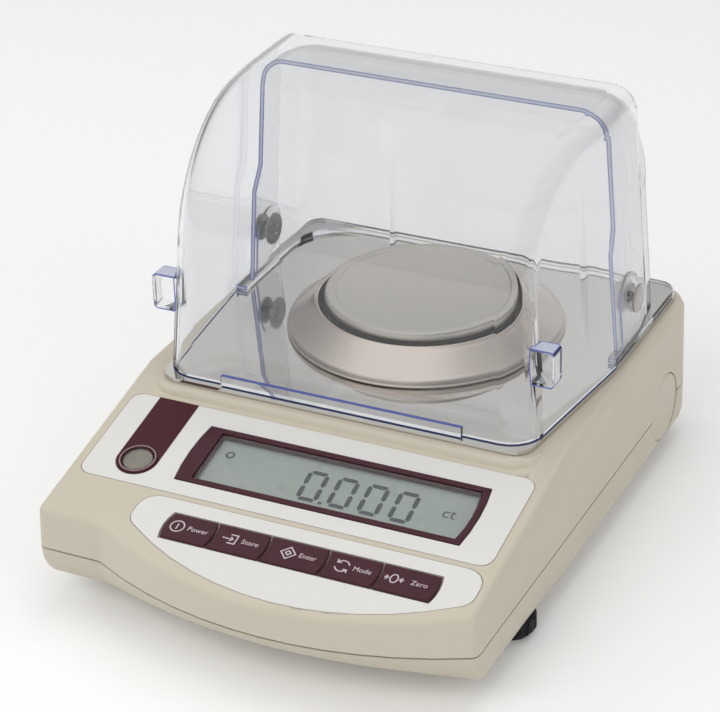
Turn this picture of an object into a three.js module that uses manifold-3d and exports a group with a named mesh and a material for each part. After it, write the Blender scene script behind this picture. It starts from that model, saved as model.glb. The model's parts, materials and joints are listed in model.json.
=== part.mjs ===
// A jewellery scale with a two-part clear windshield, in millimetres.
// X runs to the right, Y to the back and Z up. The feet stand on Z = 0.
import * as THREE from "three";
import { mergeVertices } from "three/addons/utils/BufferGeometryUtils.js";
import Module from "manifold-3d";

// Shared clearances and fineness
const gap = 0.3;
const overrun = 4;
const weldDistance = 0.0005;
const circleSteps = 30;
const smallCircleSteps = 14;
const cornerSteps = 4;

// Housing plan, seen from above
const housingHalfWidth = 91;
const housingFrontY = -106;
const housingRearY = 126;
const frontCornerRadius = 4;
const rearCornerRadius = 20;
const bellyDepth = 20;
const bellyKinkInset = 27.5;
const bellyCentreShare = 0.16;
const bellyCentreX = housingHalfWidth * bellyCentreShare;
const bellyHalfWidth = housingHalfWidth - bellyKinkInset + bellyCentreX;
const bellyKinkRadius = 6;
const bellySteps = 12;
const frontZoneFar = 82;
const frontZoneNear = 44;
const frontZoneStartY = housingFrontY + frontZoneFar;
const frontZoneEndY = housingFrontY + frontZoneNear;

// Housing heights and walls
const housingBottom = 10.5;
const lowerHousingHeight = 15.5;
const seamHeight = housingBottom + lowerHousingHeight;
const seamGap = 0.7;
const upperHousingHeight = 37;
const platformTop = seamHeight + upperHousingHeight;
const housingWall = 2.5;
const upperDraft = 0.6;
const upperSideRadius = 3;
const upperFrontRadius = 3.2;
const lowerSideRadius = 2.5;
const lowerFrontUndercut = 13;
const lowerBellyUndercut = 27;
const undercutExponent = 0.72;
const filletRows = 3;
const undercutRows = 5;
const innerRows = 2;

// Sloping front panel
const panelSlope = THREE.MathUtils.degToRad(12.3);
const panelSetback = 26;
const panelDrop = 13.9;
const panelOriginY = housingFrontY + panelSetback;
const panelOriginZ = platformTop - panelDrop;

// Raised ridge and seat under the weighing plate
const ridgeFoot = 3.2;
const ridgeTop = 1.2;
const ridgeSink = 8;
const ridgeShoulder = 1.6;
const platePadHeight = 0.7;
const platePadInset = 4;

// Weighing plate
const plateRise = 2;
const plateTop = platformTop + plateRise;
const plateThickness = 1;
const plateSkirt = 1.7;
const plateSkirtBottom = plateTop - plateSkirt;
const plateSideInset = 5.5;
const plateHalfWidth = housingHalfWidth - plateSideInset;
const plateFrontTaper = 7.9;
const plateRearInset = 7.7;
const plateRearY = housingRearY - plateRearInset;
const plateFrontHalfWidth = plateHalfWidth - plateFrontTaper;
const plateDepth = 149.3;
const plateFrontY = plateRearY - plateDepth;
const plateStraight = 76.3;
const plateKinkY = plateRearY - plateStraight;
const plateFrontRadius = 8;
const plateRearRadius = 9;
const plateHoleRadius = 12;

// Pan centre and wind ring
const panCentreInset = 68.3;
const panCentreY = plateRearY - panCentreInset;
const ringOuterRadius = 55.5;
const ringFoot = 4.3;
const ringStepRadius = ringOuterRadius - ringFoot;
const ringCone = 7.6;
const ringTopRadius = ringStepRadius - ringCone;
const ringRim = 1.2;
const ringOpeningRadius = ringTopRadius - ringRim;
const ringFlangeHeight = 1.7;
const ringHeight = 11.9;
const ringSheet = 1.3;
const ringLipDrop = 0.8;

// Weighing pan and its support
const panClearance = 2.4;
const panRadius = ringOpeningRadius - panClearance;
const panBend = 3.6;
const panFlatRadius = panRadius - panBend;
const panRise = 15.9;
const panTop = plateTop + panRise;
const panRimDrop = 2.9;
const panSheet = 1;
const panSocketOuterRadius = 9.5;
const panSocketInnerRadius = 7.5;
const panSocketDepth = 3.3;
const panSocketBottom = panTop - panSocketDepth;
const supportInset = 1.7;
const supportRadius = panRadius - supportInset;
const supportSkirtRise = 5;
const supportSkirtBottom = plateTop + supportSkirtRise;
const supportDiscDrop = 5.4;
const supportDiscThickness = 2;
const supportDiscTop = panTop - supportDiscDrop;
const supportDiscBottom = supportDiscTop - supportDiscThickness;
const supportWall = 1.4;
const supportHubRadius = 7;
const supportHubRise = 2.5;
const supportHubBottom = plateTop + supportHubRise;
const supportHubDrop = 1.4;
const supportHubTop = panTop - supportHubDrop;
const supportSeatRadius = 3;
const supportSeatInset = 10.3;
const supportSeatCircle = supportRadius - supportSeatInset;
const supportSeatCount = 3;
const supportRibCount = 6;
const supportRibWidth = 1.6;
const supportRibDrop = 2.4;

// Rear hood
const hoodTaperShare = 0.075;
const rearHoodSideInset = 4.4;
const rearHoodFootHalfWidth = plateHalfWidth - rearHoodSideInset;
const rearHoodWall = 2;
const rearHoodBackInset = 2.8;
const rearHoodBackY = plateRearY - rearHoodBackInset;
const rearHoodHeight = 100;
const rearHoodCrownZ = plateTop + rearHoodHeight;
const rearHoodArcRadius = 47.5;
const rearHoodDepth = 57.5;
const rearHoodFrontY = rearHoodBackY - rearHoodDepth;
const rearHoodJawReach = 5;
const rearHoodJawY = rearHoodFrontY - rearHoodJawReach;
const rearHoodJawTop = 53;
const rearHoodJawTopZ = plateTop + rearHoodJawTop;
const rearHoodJawSlope = 10;
const rearHoodJawBottomZ = rearHoodJawTopZ - rearHoodJawSlope;
const rearHoodPlanRadius = 25;
const rearHoodCrownRadius = 10;
const flangeReach = 3.4;
const flangeHalfWidth = rearHoodFootHalfWidth + flangeReach;
const flangeFrontReach = 6.6;
const flangeFrontY = rearHoodJawY - flangeFrontReach;
const flangeRearReach = 2.1;
const flangeRearY = rearHoodBackY + flangeRearReach;
const flangeThickness = 2;
const flangeCornerRadius = 8;
const hoodRibX = 42;
const hoodRibHeight = 49;
const hoodRibTopZ = plateTop + hoodRibHeight;
const hoodRibDepth = 5;
const hoodRibWidth = 1.4;

// Front hood
const frontHoodWall = 2;
const hoodSpacing = 2.3;
const frontHoodFrontInset = 3;
const frontHoodFrontY = plateFrontY + frontHoodFrontInset;
const frontHoodLift = 0.5;
const frontHoodBottomZ = plateTop + frontHoodLift;
const frontHoodLean = 3.5;
const frontHoodShoulder = 50;
const frontHoodShoulderZ = plateTop + frontHoodShoulder;
const frontHoodHeight = 104;
const frontHoodCrownZ = plateTop + frontHoodHeight;
const frontHoodCrownReach = 58;
const frontHoodCrownStartY = frontHoodFrontY + frontHoodCrownReach;
const frontHoodOverlap = 21;
const frontHoodRearY = rearHoodFrontY + frontHoodOverlap;
const frontHoodStep = 3;
const frontHoodKinkY = plateKinkY + frontHoodStep;
const frontHoodTaper = 8;
const frontHoodHalfWidth = rearHoodFootHalfWidth + hoodSpacing + frontHoodWall;
const frontHoodFrontHalfWidth = frontHoodHalfWidth - frontHoodTaper;
const frontHoodPlanRadius = 12;
const frontHoodCrownRadius = 9;
const lipHalfLength = 51;
const lipDepth = 3.8;
const lipHeight = 4;
const lipProud = 1.6;
const lugSetback = 8;
const lugFrontY = frontHoodFrontY + lugSetback;
const lugDepth = 7.6;
const lugRise = 23.2;
const lugBottomZ = plateTop + lugRise;
const lugHeight = 15.2;
const lugReach = 7;
const lugOuterX = frontHoodFrontHalfWidth + lugReach;
const lugRadius = 1.8;
const lugWall = 1.2;

// Hinge of the front hood
const pivotSetback = 9.3;
const pivotRise = 19.7;
const pivotY = rearHoodFrontY + pivotSetback;
const pivotZ = plateTop + pivotRise;
const pivotShaftRadius = 2;
const pivotRunning = 0.1;
const pivotHeadRadius = 5.9;
const pivotHeadThickness = 1.6;
const pivotHeadCrown = 0.7;
const pushNutRadius = 7;
const pushNutThickness = 0.8;
const pushNutTeeth = 6;
const pushNutSlotWidth = 1.2;
const pushNutHoleRadius = 2.1;
const hingePostHalfWidth = 10;
const hingePostThickness = 0.9;
const shaftEndProud = 1.2;

// Upper label and the display window
const labelThickness = 0.4;
const labelProud = 0.1;
const labelSideInset = 5.7;
const labelRight = housingHalfWidth - labelSideInset;
const labelLeft = -labelRight;
const labelLow = -3;
const labelHigh = 44.4;
const labelRadius = 5;
const levelInset = 19.7;
const levelX = labelLeft + levelInset;
const windowLevelSpacing = 19;
const windowLeft = levelX + windowLevelSpacing;
const windowRightInset = 14.9;
const windowRight = labelRight - windowRightInset;
const windowLow = 4.2;
const windowHigh = 35;
const windowBulge = 1.4;
const windowFrameSides = 2.4;
const windowFrameLeft = 6;
const windowFrameTop = 0.4;
const windowFrameDepth = 3;
const windowLedge = 1;
const lensThickness = 1.3;
const lensDrop = 0.3;

// LCD, its holder and the display board
const lcdTop = -3.3;
const lcdThickness = 2.6;
const lcdMargin = 2;
const holderThickness = 3.8;
const holderWall = 2;
const holderFloor = 1.2;
const boardThickness = 1.6;
const chipHeight = 1.4;

// Lower label and the keys
const keyLabelLeftInset = 37.6;
const keyLabelRightInset = 4.7;
const keyLabelLeft = keyLabelLeftInset - housingHalfWidth;
const keyLabelRight = housingHalfWidth - keyLabelRightInset;
const keyLabelHigh = -5.7;
const keyLabelTip = -43;
const keyLabelRise = 22.2;
const keyLabelHalfWidth = (keyLabelRight - keyLabelLeft) / 2;
const keyLabelArcRadius = (keyLabelHalfWidth ** 2 + keyLabelRise ** 2) / (2 * keyLabelRise);
const keyLabelArcShare = 0.5075;
const keyLabelArcX = keyLabelLeft + (keyLabelRight - keyLabelLeft) * keyLabelArcShare;
const keyLabelCornerRadius = 8;
const keyLabelFootRadius = 7;
const keyStripLow = -25.9;
const keyStripHigh = -12.3;
const keyBulge = 1.1;
const keyEndBulge = 1.3;
const keyStripLeftInset = 15.9;
const keyStripRightInset = 14.8;
const keyStripLeft = keyLabelLeft + keyStripLeftInset;
const keyStripRight = keyLabelRight - keyStripRightInset;
const keyEdgeShares = [0, 0.1725, 0.3734, 0.5927, 0.789, 1];
const keyEdges = keyEdgeShares.map((share) => keyStripLeft + (keyStripRight - keyStripLeft) * share);
const keyNames = ["power", "memory", "set", "function", "zero"];
const keyPocketMargin = 0.3;
const keySeparation = 0.6;
const keyTop = 0.6;
const keyBottom = -0.3;
const keyPocketFloor = -1.2;
const keyEdgeSlope = 0.5;
const keyStemHalfWidth = 2.6;
const keyStemHalfHeight = 1.8;
const keyStemBottom = -4.3;
const keyStemHoleMargin = 0.5;
const switchHalfWidth = 3;
const switchTop = -5.5;
const switchPlungerRadius = 1.6;
const switchPlungerTop = -5.1;
const keyBoardTop = -8.6;
const keyBoardMargin = 4;

// Spirit level
const levelS = 9.7;
const levelFlangeRadius = 7.9;
const levelBodyRadius = 7.1;
const levelBoreRadius = 6.2;
const levelFlangeTop = 0.6;
const levelFlangeBottom = -0.5;
const levelBottom = -9;
const levelFloor = 1.5;
const levelFluidTop = -1.5;
const levelBubbleRadius = 2.7;
const levelBubbleDepth = 0.9;
const levelLensBottom = -1.2;
const levelLensEdge = 0.1;
const levelLensCrown = 0.7;

// Levelling feet
const footFrontSideInset = 10;
const footRearSideInset = 22;
const footFrontInset = 55;
const footRearInset = 28;
const footFrontX = housingHalfWidth - footFrontSideInset;
const footRearX = housingHalfWidth - footRearSideInset;
const footFrontY = housingFrontY + footFrontInset;
const footRearY = housingRearY - footRearInset;
const footPadRadius = 7.6;
const footPadHeight = 2;
const footDialRadius = 9.2;
const footDialBottom = footPadHeight + gap;
const footDialHeight = 7;
const footDialTop = footDialBottom + footDialHeight;
const footGrooves = 12;
const footGrooveSteps = 6;
const footDialSteps = 24;
const footGrooveRadius = 0.8;
const footStudRadius = 3;
const footStudHeight = 13.7;
const footStudTop = footDialTop + footStudHeight;
const footRunning = 0.1;

// Chassis plate and sensor
const chassisSideGap = 3.3;
const chassisHalfWidth = housingHalfWidth - housingWall - chassisSideGap;
const chassisFrontReach = 12;
const chassisRearReach = 9;
const chassisFrontY = footFrontY - chassisFrontReach;
const chassisRearY = footRearY + chassisRearReach;
const chassisRadius = 12;
const chassisLift = 2.3;
const chassisBottom = housingBottom + housingWall + chassisLift;
const chassisThickness = 4;
const chassisWindowInset = 14;
const chassisStrutY = 0;
const chassisStrutHalfWidth = 8;
const footBossRadius = 8;
const sensorHalfWidth = 12;
const sensorBaseFront = 22;
const sensorBaseRear = 53;
const sensorBaseFrontY = panCentreY - sensorBaseFront;
const sensorBaseRearY = panCentreY + sensorBaseRear;
const sensorBaseHalfWidth = 26;
const sensorBaseThickness = 4;
const sensorPostOffset = 38;
const sensorPostDepth = 12;
const sensorPostFrontY = panCentreY + sensorPostOffset;
const sensorPostRearY = sensorPostFrontY + sensorPostDepth;
const sensorHeadroom = 11;
const sensorBodyTop = platformTop - sensorHeadroom;
const guideThickness = 4;
const guideNotchRadius = 1.5;
const guideNotchInset = 5;
const carrierOffset = 16;
const carrierDepth = 8;
const carrierFrontY = panCentreY - carrierOffset;
const carrierRearY = carrierFrontY + carrierDepth;
const carrierLift = 11.2;
const carrierBottom = chassisBottom + carrierLift;
const carrierArmHalfWidth = 7;
const carrierArmReach = 7;
const carrierArmRearY = panCentreY + carrierArmReach;
const carrierArmThickness = 4;
const loadPostRadius = 4;
const loadPostRise = 7;
const loadPostTop = plateTop + loadPostRise;
const loadPostRunning = 0.1;
const loadTravel = 0.2;
const leverHalfWidth = 4;
const leverLift = 16.7;
const leverBottom = chassisBottom + leverLift;
const leverHeight = 5;
const forkHalfWidth = 4.5;
const forkHeight = 3;
const forkSlotHalfWidth = 0.7;
const forkBarWidth = 1.6;
const forkEnd = 3;
const stopRadius = 2.5;

// Boards and sockets
const mainBoardInset = 5.2;
const mainBoardGap = 10;
const mainBoardLeft = mainBoardInset - chassisHalfWidth;
const mainBoardRight = -sensorBaseHalfWidth - mainBoardGap;
const mainBoardFrontY = 8;
const mainBoardRearY = 88;
const mainBoardLift = 7.7;
const mainBoardBottom = chassisBottom + mainBoardLift;
const standoffRadius = 2.4;
// Each row: left, right, front and rear as shares of the board, height as a share of the chip's
const boardPartShares = [
  [0.25, 0.55, 0.3, 0.5, 1],
  [0.65, 0.9, 0.2, 0.35, 3],
  [0.15, 0.4, 0.7, 0.85, 4],
  [0.6, 0.8, 0.6, 0.8, 2],
];
const socketRise = 11;
const socketZ = seamHeight + socketRise;
const powerSocketInset = 29;
const socketSpacing = 28;
const powerSocketX = powerSocketInset - housingHalfWidth;
const powerNoseRadius = 4.5;
const powerBoreRadius = 3;
const powerPinRadius = 1;
const serialSocketX = powerSocketX + socketSpacing;
const serialNoseRadius = 7.5;
const serialBoreRadius = 6;
const serialCoreRadius = 4.2;
const socketDepth = 13;
const socketBlockMargin = 2;
const socketBoreDepth = 9;
const noseShortfall = 0.8;

// Side cap and housing screws
const sideCapInset = 39;
const sideCapY = housingRearY - sideCapInset;
const sideCapRadius = 14.2;
const sideCapThickness = 2.2;
const sideCapGap = 0.4;
const screwSideInset = 10.5;
const screwRearSideInset = 13;
const screwFrontInset = 22;
const screwRearInset = 13;
const screwX = housingHalfWidth - screwSideInset;
const screwFrontY = housingFrontY + screwFrontInset;
const screwRearX = housingHalfWidth - screwRearSideInset;
const screwRearY = housingRearY - screwRearInset;
const screwRadius = 1.5;
const screwHeadRadius = 3;
const screwHeadHeight = 2;
const screwReach = 12;
const screwTop = seamHeight + screwReach;
const screwBossRadius = 4.2;
const screwBossDrop = 4;
const screwBossTop = seamHeight - screwBossDrop;
const screwRunning = 0.1;

const wasm = await Module();
wasm.setup();

// Turns a geometry into a solid that can be cut and joined
function toSolid(geometry) {
  const bare = geometry.clone();
  bare.deleteAttribute("normal");
  bare.deleteAttribute("uv");
  const welded = mergeVertices(bare, weldDistance);
  const index = welded.index.array;
  const kept = [];
  for (let i = 0; i < index.length; i += 3) {
    const [a, b, c] = [index[i], index[i + 1], index[i + 2]];
    if (a !== b && b !== c && c !== a) kept.push(a, b, c);
  }
  const vertProperties = new Float32Array(welded.attributes.position.array);
  const triVerts = new Uint32Array(kept);
  return new wasm.Manifold(new wasm.Mesh({ numProp: 3, vertProperties, triVerts }));
}

function toMesh(name, solid, material) {
  const { vertProperties, triVerts } = solid.getMesh();
  const geometry = new THREE.BufferGeometry();
  geometry.setAttribute("position", new THREE.BufferAttribute(vertProperties, 3));
  geometry.setIndex(new THREE.BufferAttribute(triVerts, 1));
  geometry.computeVertexNormals();
  const mesh = new THREE.Mesh(geometry, material);
  mesh.name = name;
  return mesh;
}

function join(first, ...others) {
  return others.reduce((sum, solid) => sum.add(solid), first);
}

function cut(body, ...tools) {
  return tools.reduce((left, tool) => left.subtract(tool), body);
}

// Points of an arc that rounds the corner where two directions meet
function roundCorner(corner, directionIn, directionOut, radius, steps = cornerSteps) {
  const cross = directionIn.x * directionOut.y - directionIn.y * directionOut.x;
  const turn = Math.atan2(cross, directionIn.dot(directionOut));
  const tangent = radius * Math.tan(Math.abs(turn) / 2);
  const start = corner.clone().addScaledVector(directionIn, -tangent);
  const side = new THREE.Vector2(-directionIn.y, directionIn.x).multiplyScalar(Math.sign(turn));
  const centre = start.clone().addScaledVector(side, radius);
  const points = [];
  for (let i = 0; i <= steps; i += 1) {
    points.push(start.clone().rotateAround(centre, (turn * i) / steps));
  }
  return points;
}

// A closed outline, counter-clockwise, from corners given as [x, y, radius]
function roundedOutline(corners) {
  const points = [];
  corners.forEach(([x, y, radius], i) => {
    const before = corners[(i + corners.length - 1) % corners.length];
    const after = corners[(i + 1) % corners.length];
    const corner = new THREE.Vector2(x, y);
    const directionIn = corner.clone().sub(new THREE.Vector2(before[0], before[1])).normalize();
    const directionOut = new THREE.Vector2(after[0], after[1]).sub(corner).normalize();
    if (radius > 0) points.push(...roundCorner(corner, directionIn, directionOut, radius));
    else points.push(corner);
  });
  return points;
}

function rectangle(left, right, low, high, radius = 0) {
  return roundedOutline([
    [left, low, radius],
    [right, low, radius],
    [right, high, radius],
    [left, high, radius],
  ]);
}

// A band whose two ends are arcs: the left one curves outward, and so does the right one
function barrel(left, right, low, high, leftBulge, rightBulge) {
  const points = [];
  for (let i = 0; i <= cornerSteps; i += 1) {
    const share = i / cornerSteps;
    const swell = 4 * share * (1 - share);
    points.push(new THREE.Vector2(right + rightBulge * swell, low + (high - low) * share));
  }
  for (let i = cornerSteps; i >= 0; i -= 1) {
    const share = i / cornerSteps;
    const swell = 4 * share * (1 - share);
    points.push(new THREE.Vector2(left - leftBulge * swell, low + (high - low) * share));
  }
  return points;
}

function prism(outline, bottom, top) {
  const shape = new THREE.Shape(outline);
  const geometry = new THREE.ExtrudeGeometry(shape, { depth: top - bottom, bevelEnabled: false });
  return geometry.translate(0, 0, bottom);
}

// A prism whose outline is drawn from the side, in Y and Z
function sidePrism(outline, left, right) {
  const shape = new THREE.Shape(outline);
  const geometry = new THREE.ExtrudeGeometry(shape, { depth: right - left, bevelEnabled: false });
  return geometry.rotateX(Math.PI / 2).rotateZ(Math.PI / 2).translate(left, 0, 0);
}

function block(left, right, front, rear, bottom, top) {
  const geometry = new THREE.BoxGeometry(right - left, rear - front, top - bottom);
  geometry.translate((left + right) / 2, (front + rear) / 2, (bottom + top) / 2);
  return toSolid(geometry);
}

function upright(radius, bottom, top, x = 0, y = 0, steps = circleSteps) {
  const geometry = new THREE.CylinderGeometry(radius, radius, top - bottom, steps);
  geometry.rotateX(Math.PI / 2);
  return toSolid(geometry.translate(x, y, (bottom + top) / 2));
}

function rodAlongX(radius, left, right, y, z, steps = circleSteps) {
  const geometry = new THREE.CylinderGeometry(radius, radius, right - left, steps);
  geometry.rotateZ(Math.PI / 2);
  return toSolid(geometry.translate((left + right) / 2, y, z));
}

function rodAlongY(radius, front, rear, x, z, steps = circleSteps) {
  const geometry = new THREE.CylinderGeometry(radius, radius, rear - front, steps);
  return toSolid(geometry.translate(x, (front + rear) / 2, z));
}

// A turned piece about a vertical axis; the profile lists [radius, height] round the section
function turned(profile, x = 0, y = 0, steps = circleSteps) {
  const points = profile.map(([radius, height]) => new THREE.Vector2(radius, height));
  const geometry = new THREE.LatheGeometry(points, steps);
  geometry.rotateX(Math.PI / 2);
  return toSolid(geometry.translate(x, y, 0));
}

// The front panel's own frame: x across, y up the slope, z out of the panel
const panelMatrix = new THREE.Matrix4()
  .makeTranslation(0, panelOriginY, panelOriginZ)
  .multiply(new THREE.Matrix4().makeRotationX(panelSlope));

function onPanel(geometry) {
  return toSolid(geometry.applyMatrix4(panelMatrix));
}

function panelDisc(radius, bottom, top, x, s, steps = circleSteps) {
  const geometry = new THREE.CylinderGeometry(radius, radius, top - bottom, steps);
  geometry.rotateX(Math.PI / 2);
  return onPanel(geometry.translate(x, s, (bottom + top) / 2));
}

function panelTurned(profile, x, s) {
  const points = profile.map(([radius, height]) => new THREE.Vector2(radius, height));
  const geometry = new THREE.LatheGeometry(points, smallCircleSteps);
  geometry.rotateX(Math.PI / 2);
  return onPanel(geometry.translate(x, s, 0));
}

// A triangle list that grows face by face, with points shared by position
class Faces {
  constructor() {
    this.positions = [];
  }

  triangle(a, b, c) {
    this.positions.push(...a.toArray(), ...b.toArray(), ...c.toArray());
  }

  quad(a, b, c, d) {
    this.triangle(a, b, c);
    this.triangle(a, c, d);
  }

  // Fills a flat loop; flat gives each point's place in the loop's own plane, and
  // facing is 1 when the face looks toward the side that sees that plane unmirrored
  fill(loop, flat, facing) {
    const clockwise = THREE.ShapeUtils.area(flat) < 0;
    const points = clockwise ? [...loop].reverse() : loop;
    const contour = clockwise ? [...flat].reverse() : flat;
    THREE.ShapeUtils.triangulateShape(contour, []).forEach(([i, j, k]) => {
      if (facing > 0) this.triangle(points[i], points[j], points[k]);
      else this.triangle(points[i], points[k], points[j]);
    });
  }

  geometry() {
    const geometry = new THREE.BufferGeometry();
    geometry.setAttribute("position", new THREE.Float32BufferAttribute(this.positions, 3));
    return geometry;
  }
}

function mix(from, to, share) {
  return from + (to - from) * share;
}

// Height of the sloping panel's plane, and of the housing's top skin, at a given Y
function panelHeight(y) {
  return panelOriginZ + (y - panelOriginY) * Math.tan(panelSlope);
}

const bendY = panelOriginY + (platformTop - panelOriginZ) / Math.tan(panelSlope);

function skinHeight(y) {
  return Math.min(platformTop, panelHeight(y));
}

// How much a point belongs to the front of the housing rather than to its sides
function frontShare(y) {
  const share = (frontZoneStartY - y) / (frontZoneStartY - frontZoneEndY);
  return Math.min(1, Math.max(0, share));
}

// The housing's outline seen from above, drawn in by separate amounts at the sides, along the
// straight front and at the belly; every call gives the same number of points in the same order
function housingOutline(sideInset, frontInset, bellyInset) {
  const halfWidth = housingHalfWidth - sideInset;
  const frontY = housingFrontY + frontInset;
  const rearY = housingRearY - sideInset;
  const swell = bellyDepth + frontInset - bellyInset;
  const radius = (bellyHalfWidth ** 2 + swell ** 2) / (2 * swell);
  const centreY = frontY - swell + radius;
  const cornerRadius = frontCornerRadius - Math.min(sideInset, frontCornerRadius / 2);
  const rearRadius = rearCornerRadius - sideInset;
  const right = new THREE.Vector2(1, 0);
  const back = new THREE.Vector2(0, 1);
  const tangentAt = (x) => new THREE.Vector2(centreY - bellyArcY(x), x - bellyCentreX).normalize();
  const bellyArcY = (x) => centreY - Math.sqrt(radius ** 2 - (x - bellyCentreX) ** 2);

  const points = [];
  const left = back.clone().negate();
  points.push(...roundCorner(new THREE.Vector2(-halfWidth, frontY), left, right, cornerRadius));
  const kink = new THREE.Vector2(bellyCentreX - bellyHalfWidth, frontY);
  points.push(...roundCorner(kink, right, tangentAt(kink.x), bellyKinkRadius));
  const startX = points[points.length - 1].x;
  const corner = new THREE.Vector2(halfWidth, bellyArcY(halfWidth));
  const cornerArc = roundCorner(corner, tangentAt(halfWidth), back, cornerRadius);
  const endX = cornerArc[0].x;
  for (let i = 1; i < bellySteps; i += 1) {
    const x = mix(startX, endX, i / bellySteps);
    points.push(new THREE.Vector2(x, bellyArcY(x)));
  }
  points.push(...cornerArc);
  [frontZoneEndY, frontZoneStartY, bendY].forEach((y) => points.push(new THREE.Vector2(halfWidth, y)));
  points.push(...roundCorner(new THREE.Vector2(halfWidth, rearY), back, right.clone().negate(), rearRadius));
  points.push(...roundCorner(new THREE.Vector2(-halfWidth, rearY), right.clone().negate(), left, rearRadius));
  [bendY, frontZoneStartY, frontZoneEndY].forEach((y) => points.push(new THREE.Vector2(-halfWidth, y)));
  return points;
}

// A closed body from a stack of loops, each an outline with its own heights
function stackedBody(loops) {
  const faces = new Faces();
  for (let row = 0; row + 1 < loops.length; row += 1) {
    const [below, above] = [loops[row], loops[row + 1]];
    below.forEach((point, i) => {
      const next = (i + 1) % below.length;
      faces.quad(point, below[next], above[next], above[i]);
    });
  }
  fillLevel(faces, loops[0], -1);
  fillLevel(faces, loops[loops.length - 1], 1);
  return toSolid(faces.geometry());
}

// Fills a loop whose height only changes with Y, in two flat parts that meet at the bend
function fillLevel(faces, loop, facing) {
  const parts = [
    loop.filter((p) => p.y <= bendY + weldDistance),
    loop.filter((p) => p.y >= bendY - weldDistance),
  ];
  parts.forEach((part) => {
    const flat = part.map((p) => new THREE.Vector2(p.x, p.y));
    faces.fill(part, flat, facing);
  });
}

function housingLoop(insets, heightAt) {
  return housingOutline(...insets).map((p) => new THREE.Vector3(p.x, p.y, heightAt(p.y)));
}

// The upper housing's skin, drawn in by the wall for its inside
function upperBody(wall, bottom, rows) {
  const loops = [housingLoop([wall, wall, wall], () => bottom)];
  for (let row = 0; row <= rows; row += 1) {
    const angle = (Math.PI / 2) * (row / rows);
    const side = wall + upperDraft + upperSideRadius * (1 - Math.cos(angle));
    const front = wall + upperDraft + upperFrontRadius * (1 - Math.cos(angle));
    const heightAt = (y) => {
      const drop = mix(upperSideRadius, upperFrontRadius, frontShare(y)) * (1 - Math.sin(angle));
      return skinHeight(y) - wall - drop;
    };
    loops.push(housingLoop([side, front, front], heightAt));
  }
  return stackedBody(loops);
}

// The lower housing's skin: small radius at the sides, a deep undercut below the belly
function lowerBody(wall, top, rows) {
  const loops = [];
  for (let row = rows; row >= 0; row -= 1) {
    const angle = (Math.PI / 2) * (row / rows);
    const curve = 1 - Math.cos(angle);
    const side = wall + lowerSideRadius * curve;
    const front = wall + lowerFrontUndercut * curve;
    const belly = wall + lowerBellyUndercut * curve ** undercutExponent;
    const heightAt = (y) => {
      const reach = mix(lowerSideRadius, seamHeight - housingBottom, frontShare(y));
      return housingBottom + wall + reach * (1 - Math.sin(angle)) * (1 - wall / (seamHeight - housingBottom));
    };
    loops.push(housingLoop([side, front, belly], heightAt));
  }
  loops.push(housingLoop([wall, wall, wall], () => top));
  return stackedBody(loops);
}

// The weighing plate's outline, grown by a margin
function plateOutline(margin) {
  const half = plateHalfWidth + margin;
  const frontHalf = plateFrontHalfWidth + margin;
  const front = plateFrontY - margin;
  const rear = plateRearY + margin;
  const frontRadius = plateFrontRadius + margin;
  const rearRadius = plateRearRadius + margin;
  return roundedOutline([
    [-frontHalf, front, frontRadius],
    [frontHalf, front, frontRadius],
    [half, plateKinkY, 0],
    [half, rear, rearRadius],
    [-half, rear, rearRadius],
    [-half, plateKinkY, 0],
  ]);
}

// The ridge that frames the weighing plate and dies into the flat top behind the bend
function plateRidge() {
  const rearLimit = bendY + overrun;
  const rows = [
    [ridgeFoot, platformTop - ridgeSink],
    [ridgeFoot, panelHeight(plateFrontY)],
    [mix(ridgeFoot, ridgeTop, 1 / 4), platformTop - ridgeShoulder],
    [ridgeTop, platformTop],
  ];
  const faces = new Faces();
  const loops = rows.map(([margin, height]) => {
    const outline = plateOutline(margin).filter((p) => p.y < rearLimit);
    const edge = outline.map((p) => new THREE.Vector3(p.x, p.y, height));
    const first = edge[0];
    const last = edge[edge.length - 1];
    const slopeShare = (plateHalfWidth - plateFrontHalfWidth) / (plateKinkY - plateFrontY);
    const widen = (rearLimit - last.y) * slopeShare;
    edge.push(new THREE.Vector3(last.x + widen, rearLimit, height));
    edge.push(new THREE.Vector3(first.x - widen, rearLimit, height));
    return edge;
  });
  for (let row = 0; row + 1 < loops.length; row += 1) {
    loops[row].forEach((point, i) => {
      const next = (i + 1) % loops[row].length;
      faces.quad(point, loops[row][next], loops[row + 1][next], loops[row + 1][i]);
    });
  }
  const flatten = (loop) => loop.map((p) => new THREE.Vector2(p.x, p.y));
  faces.fill(loops[0], flatten(loops[0]), -1);
  faces.fill(loops[loops.length - 1], flatten(loops[loops.length - 1]), 1);
  return toSolid(faces.geometry());
}

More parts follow.
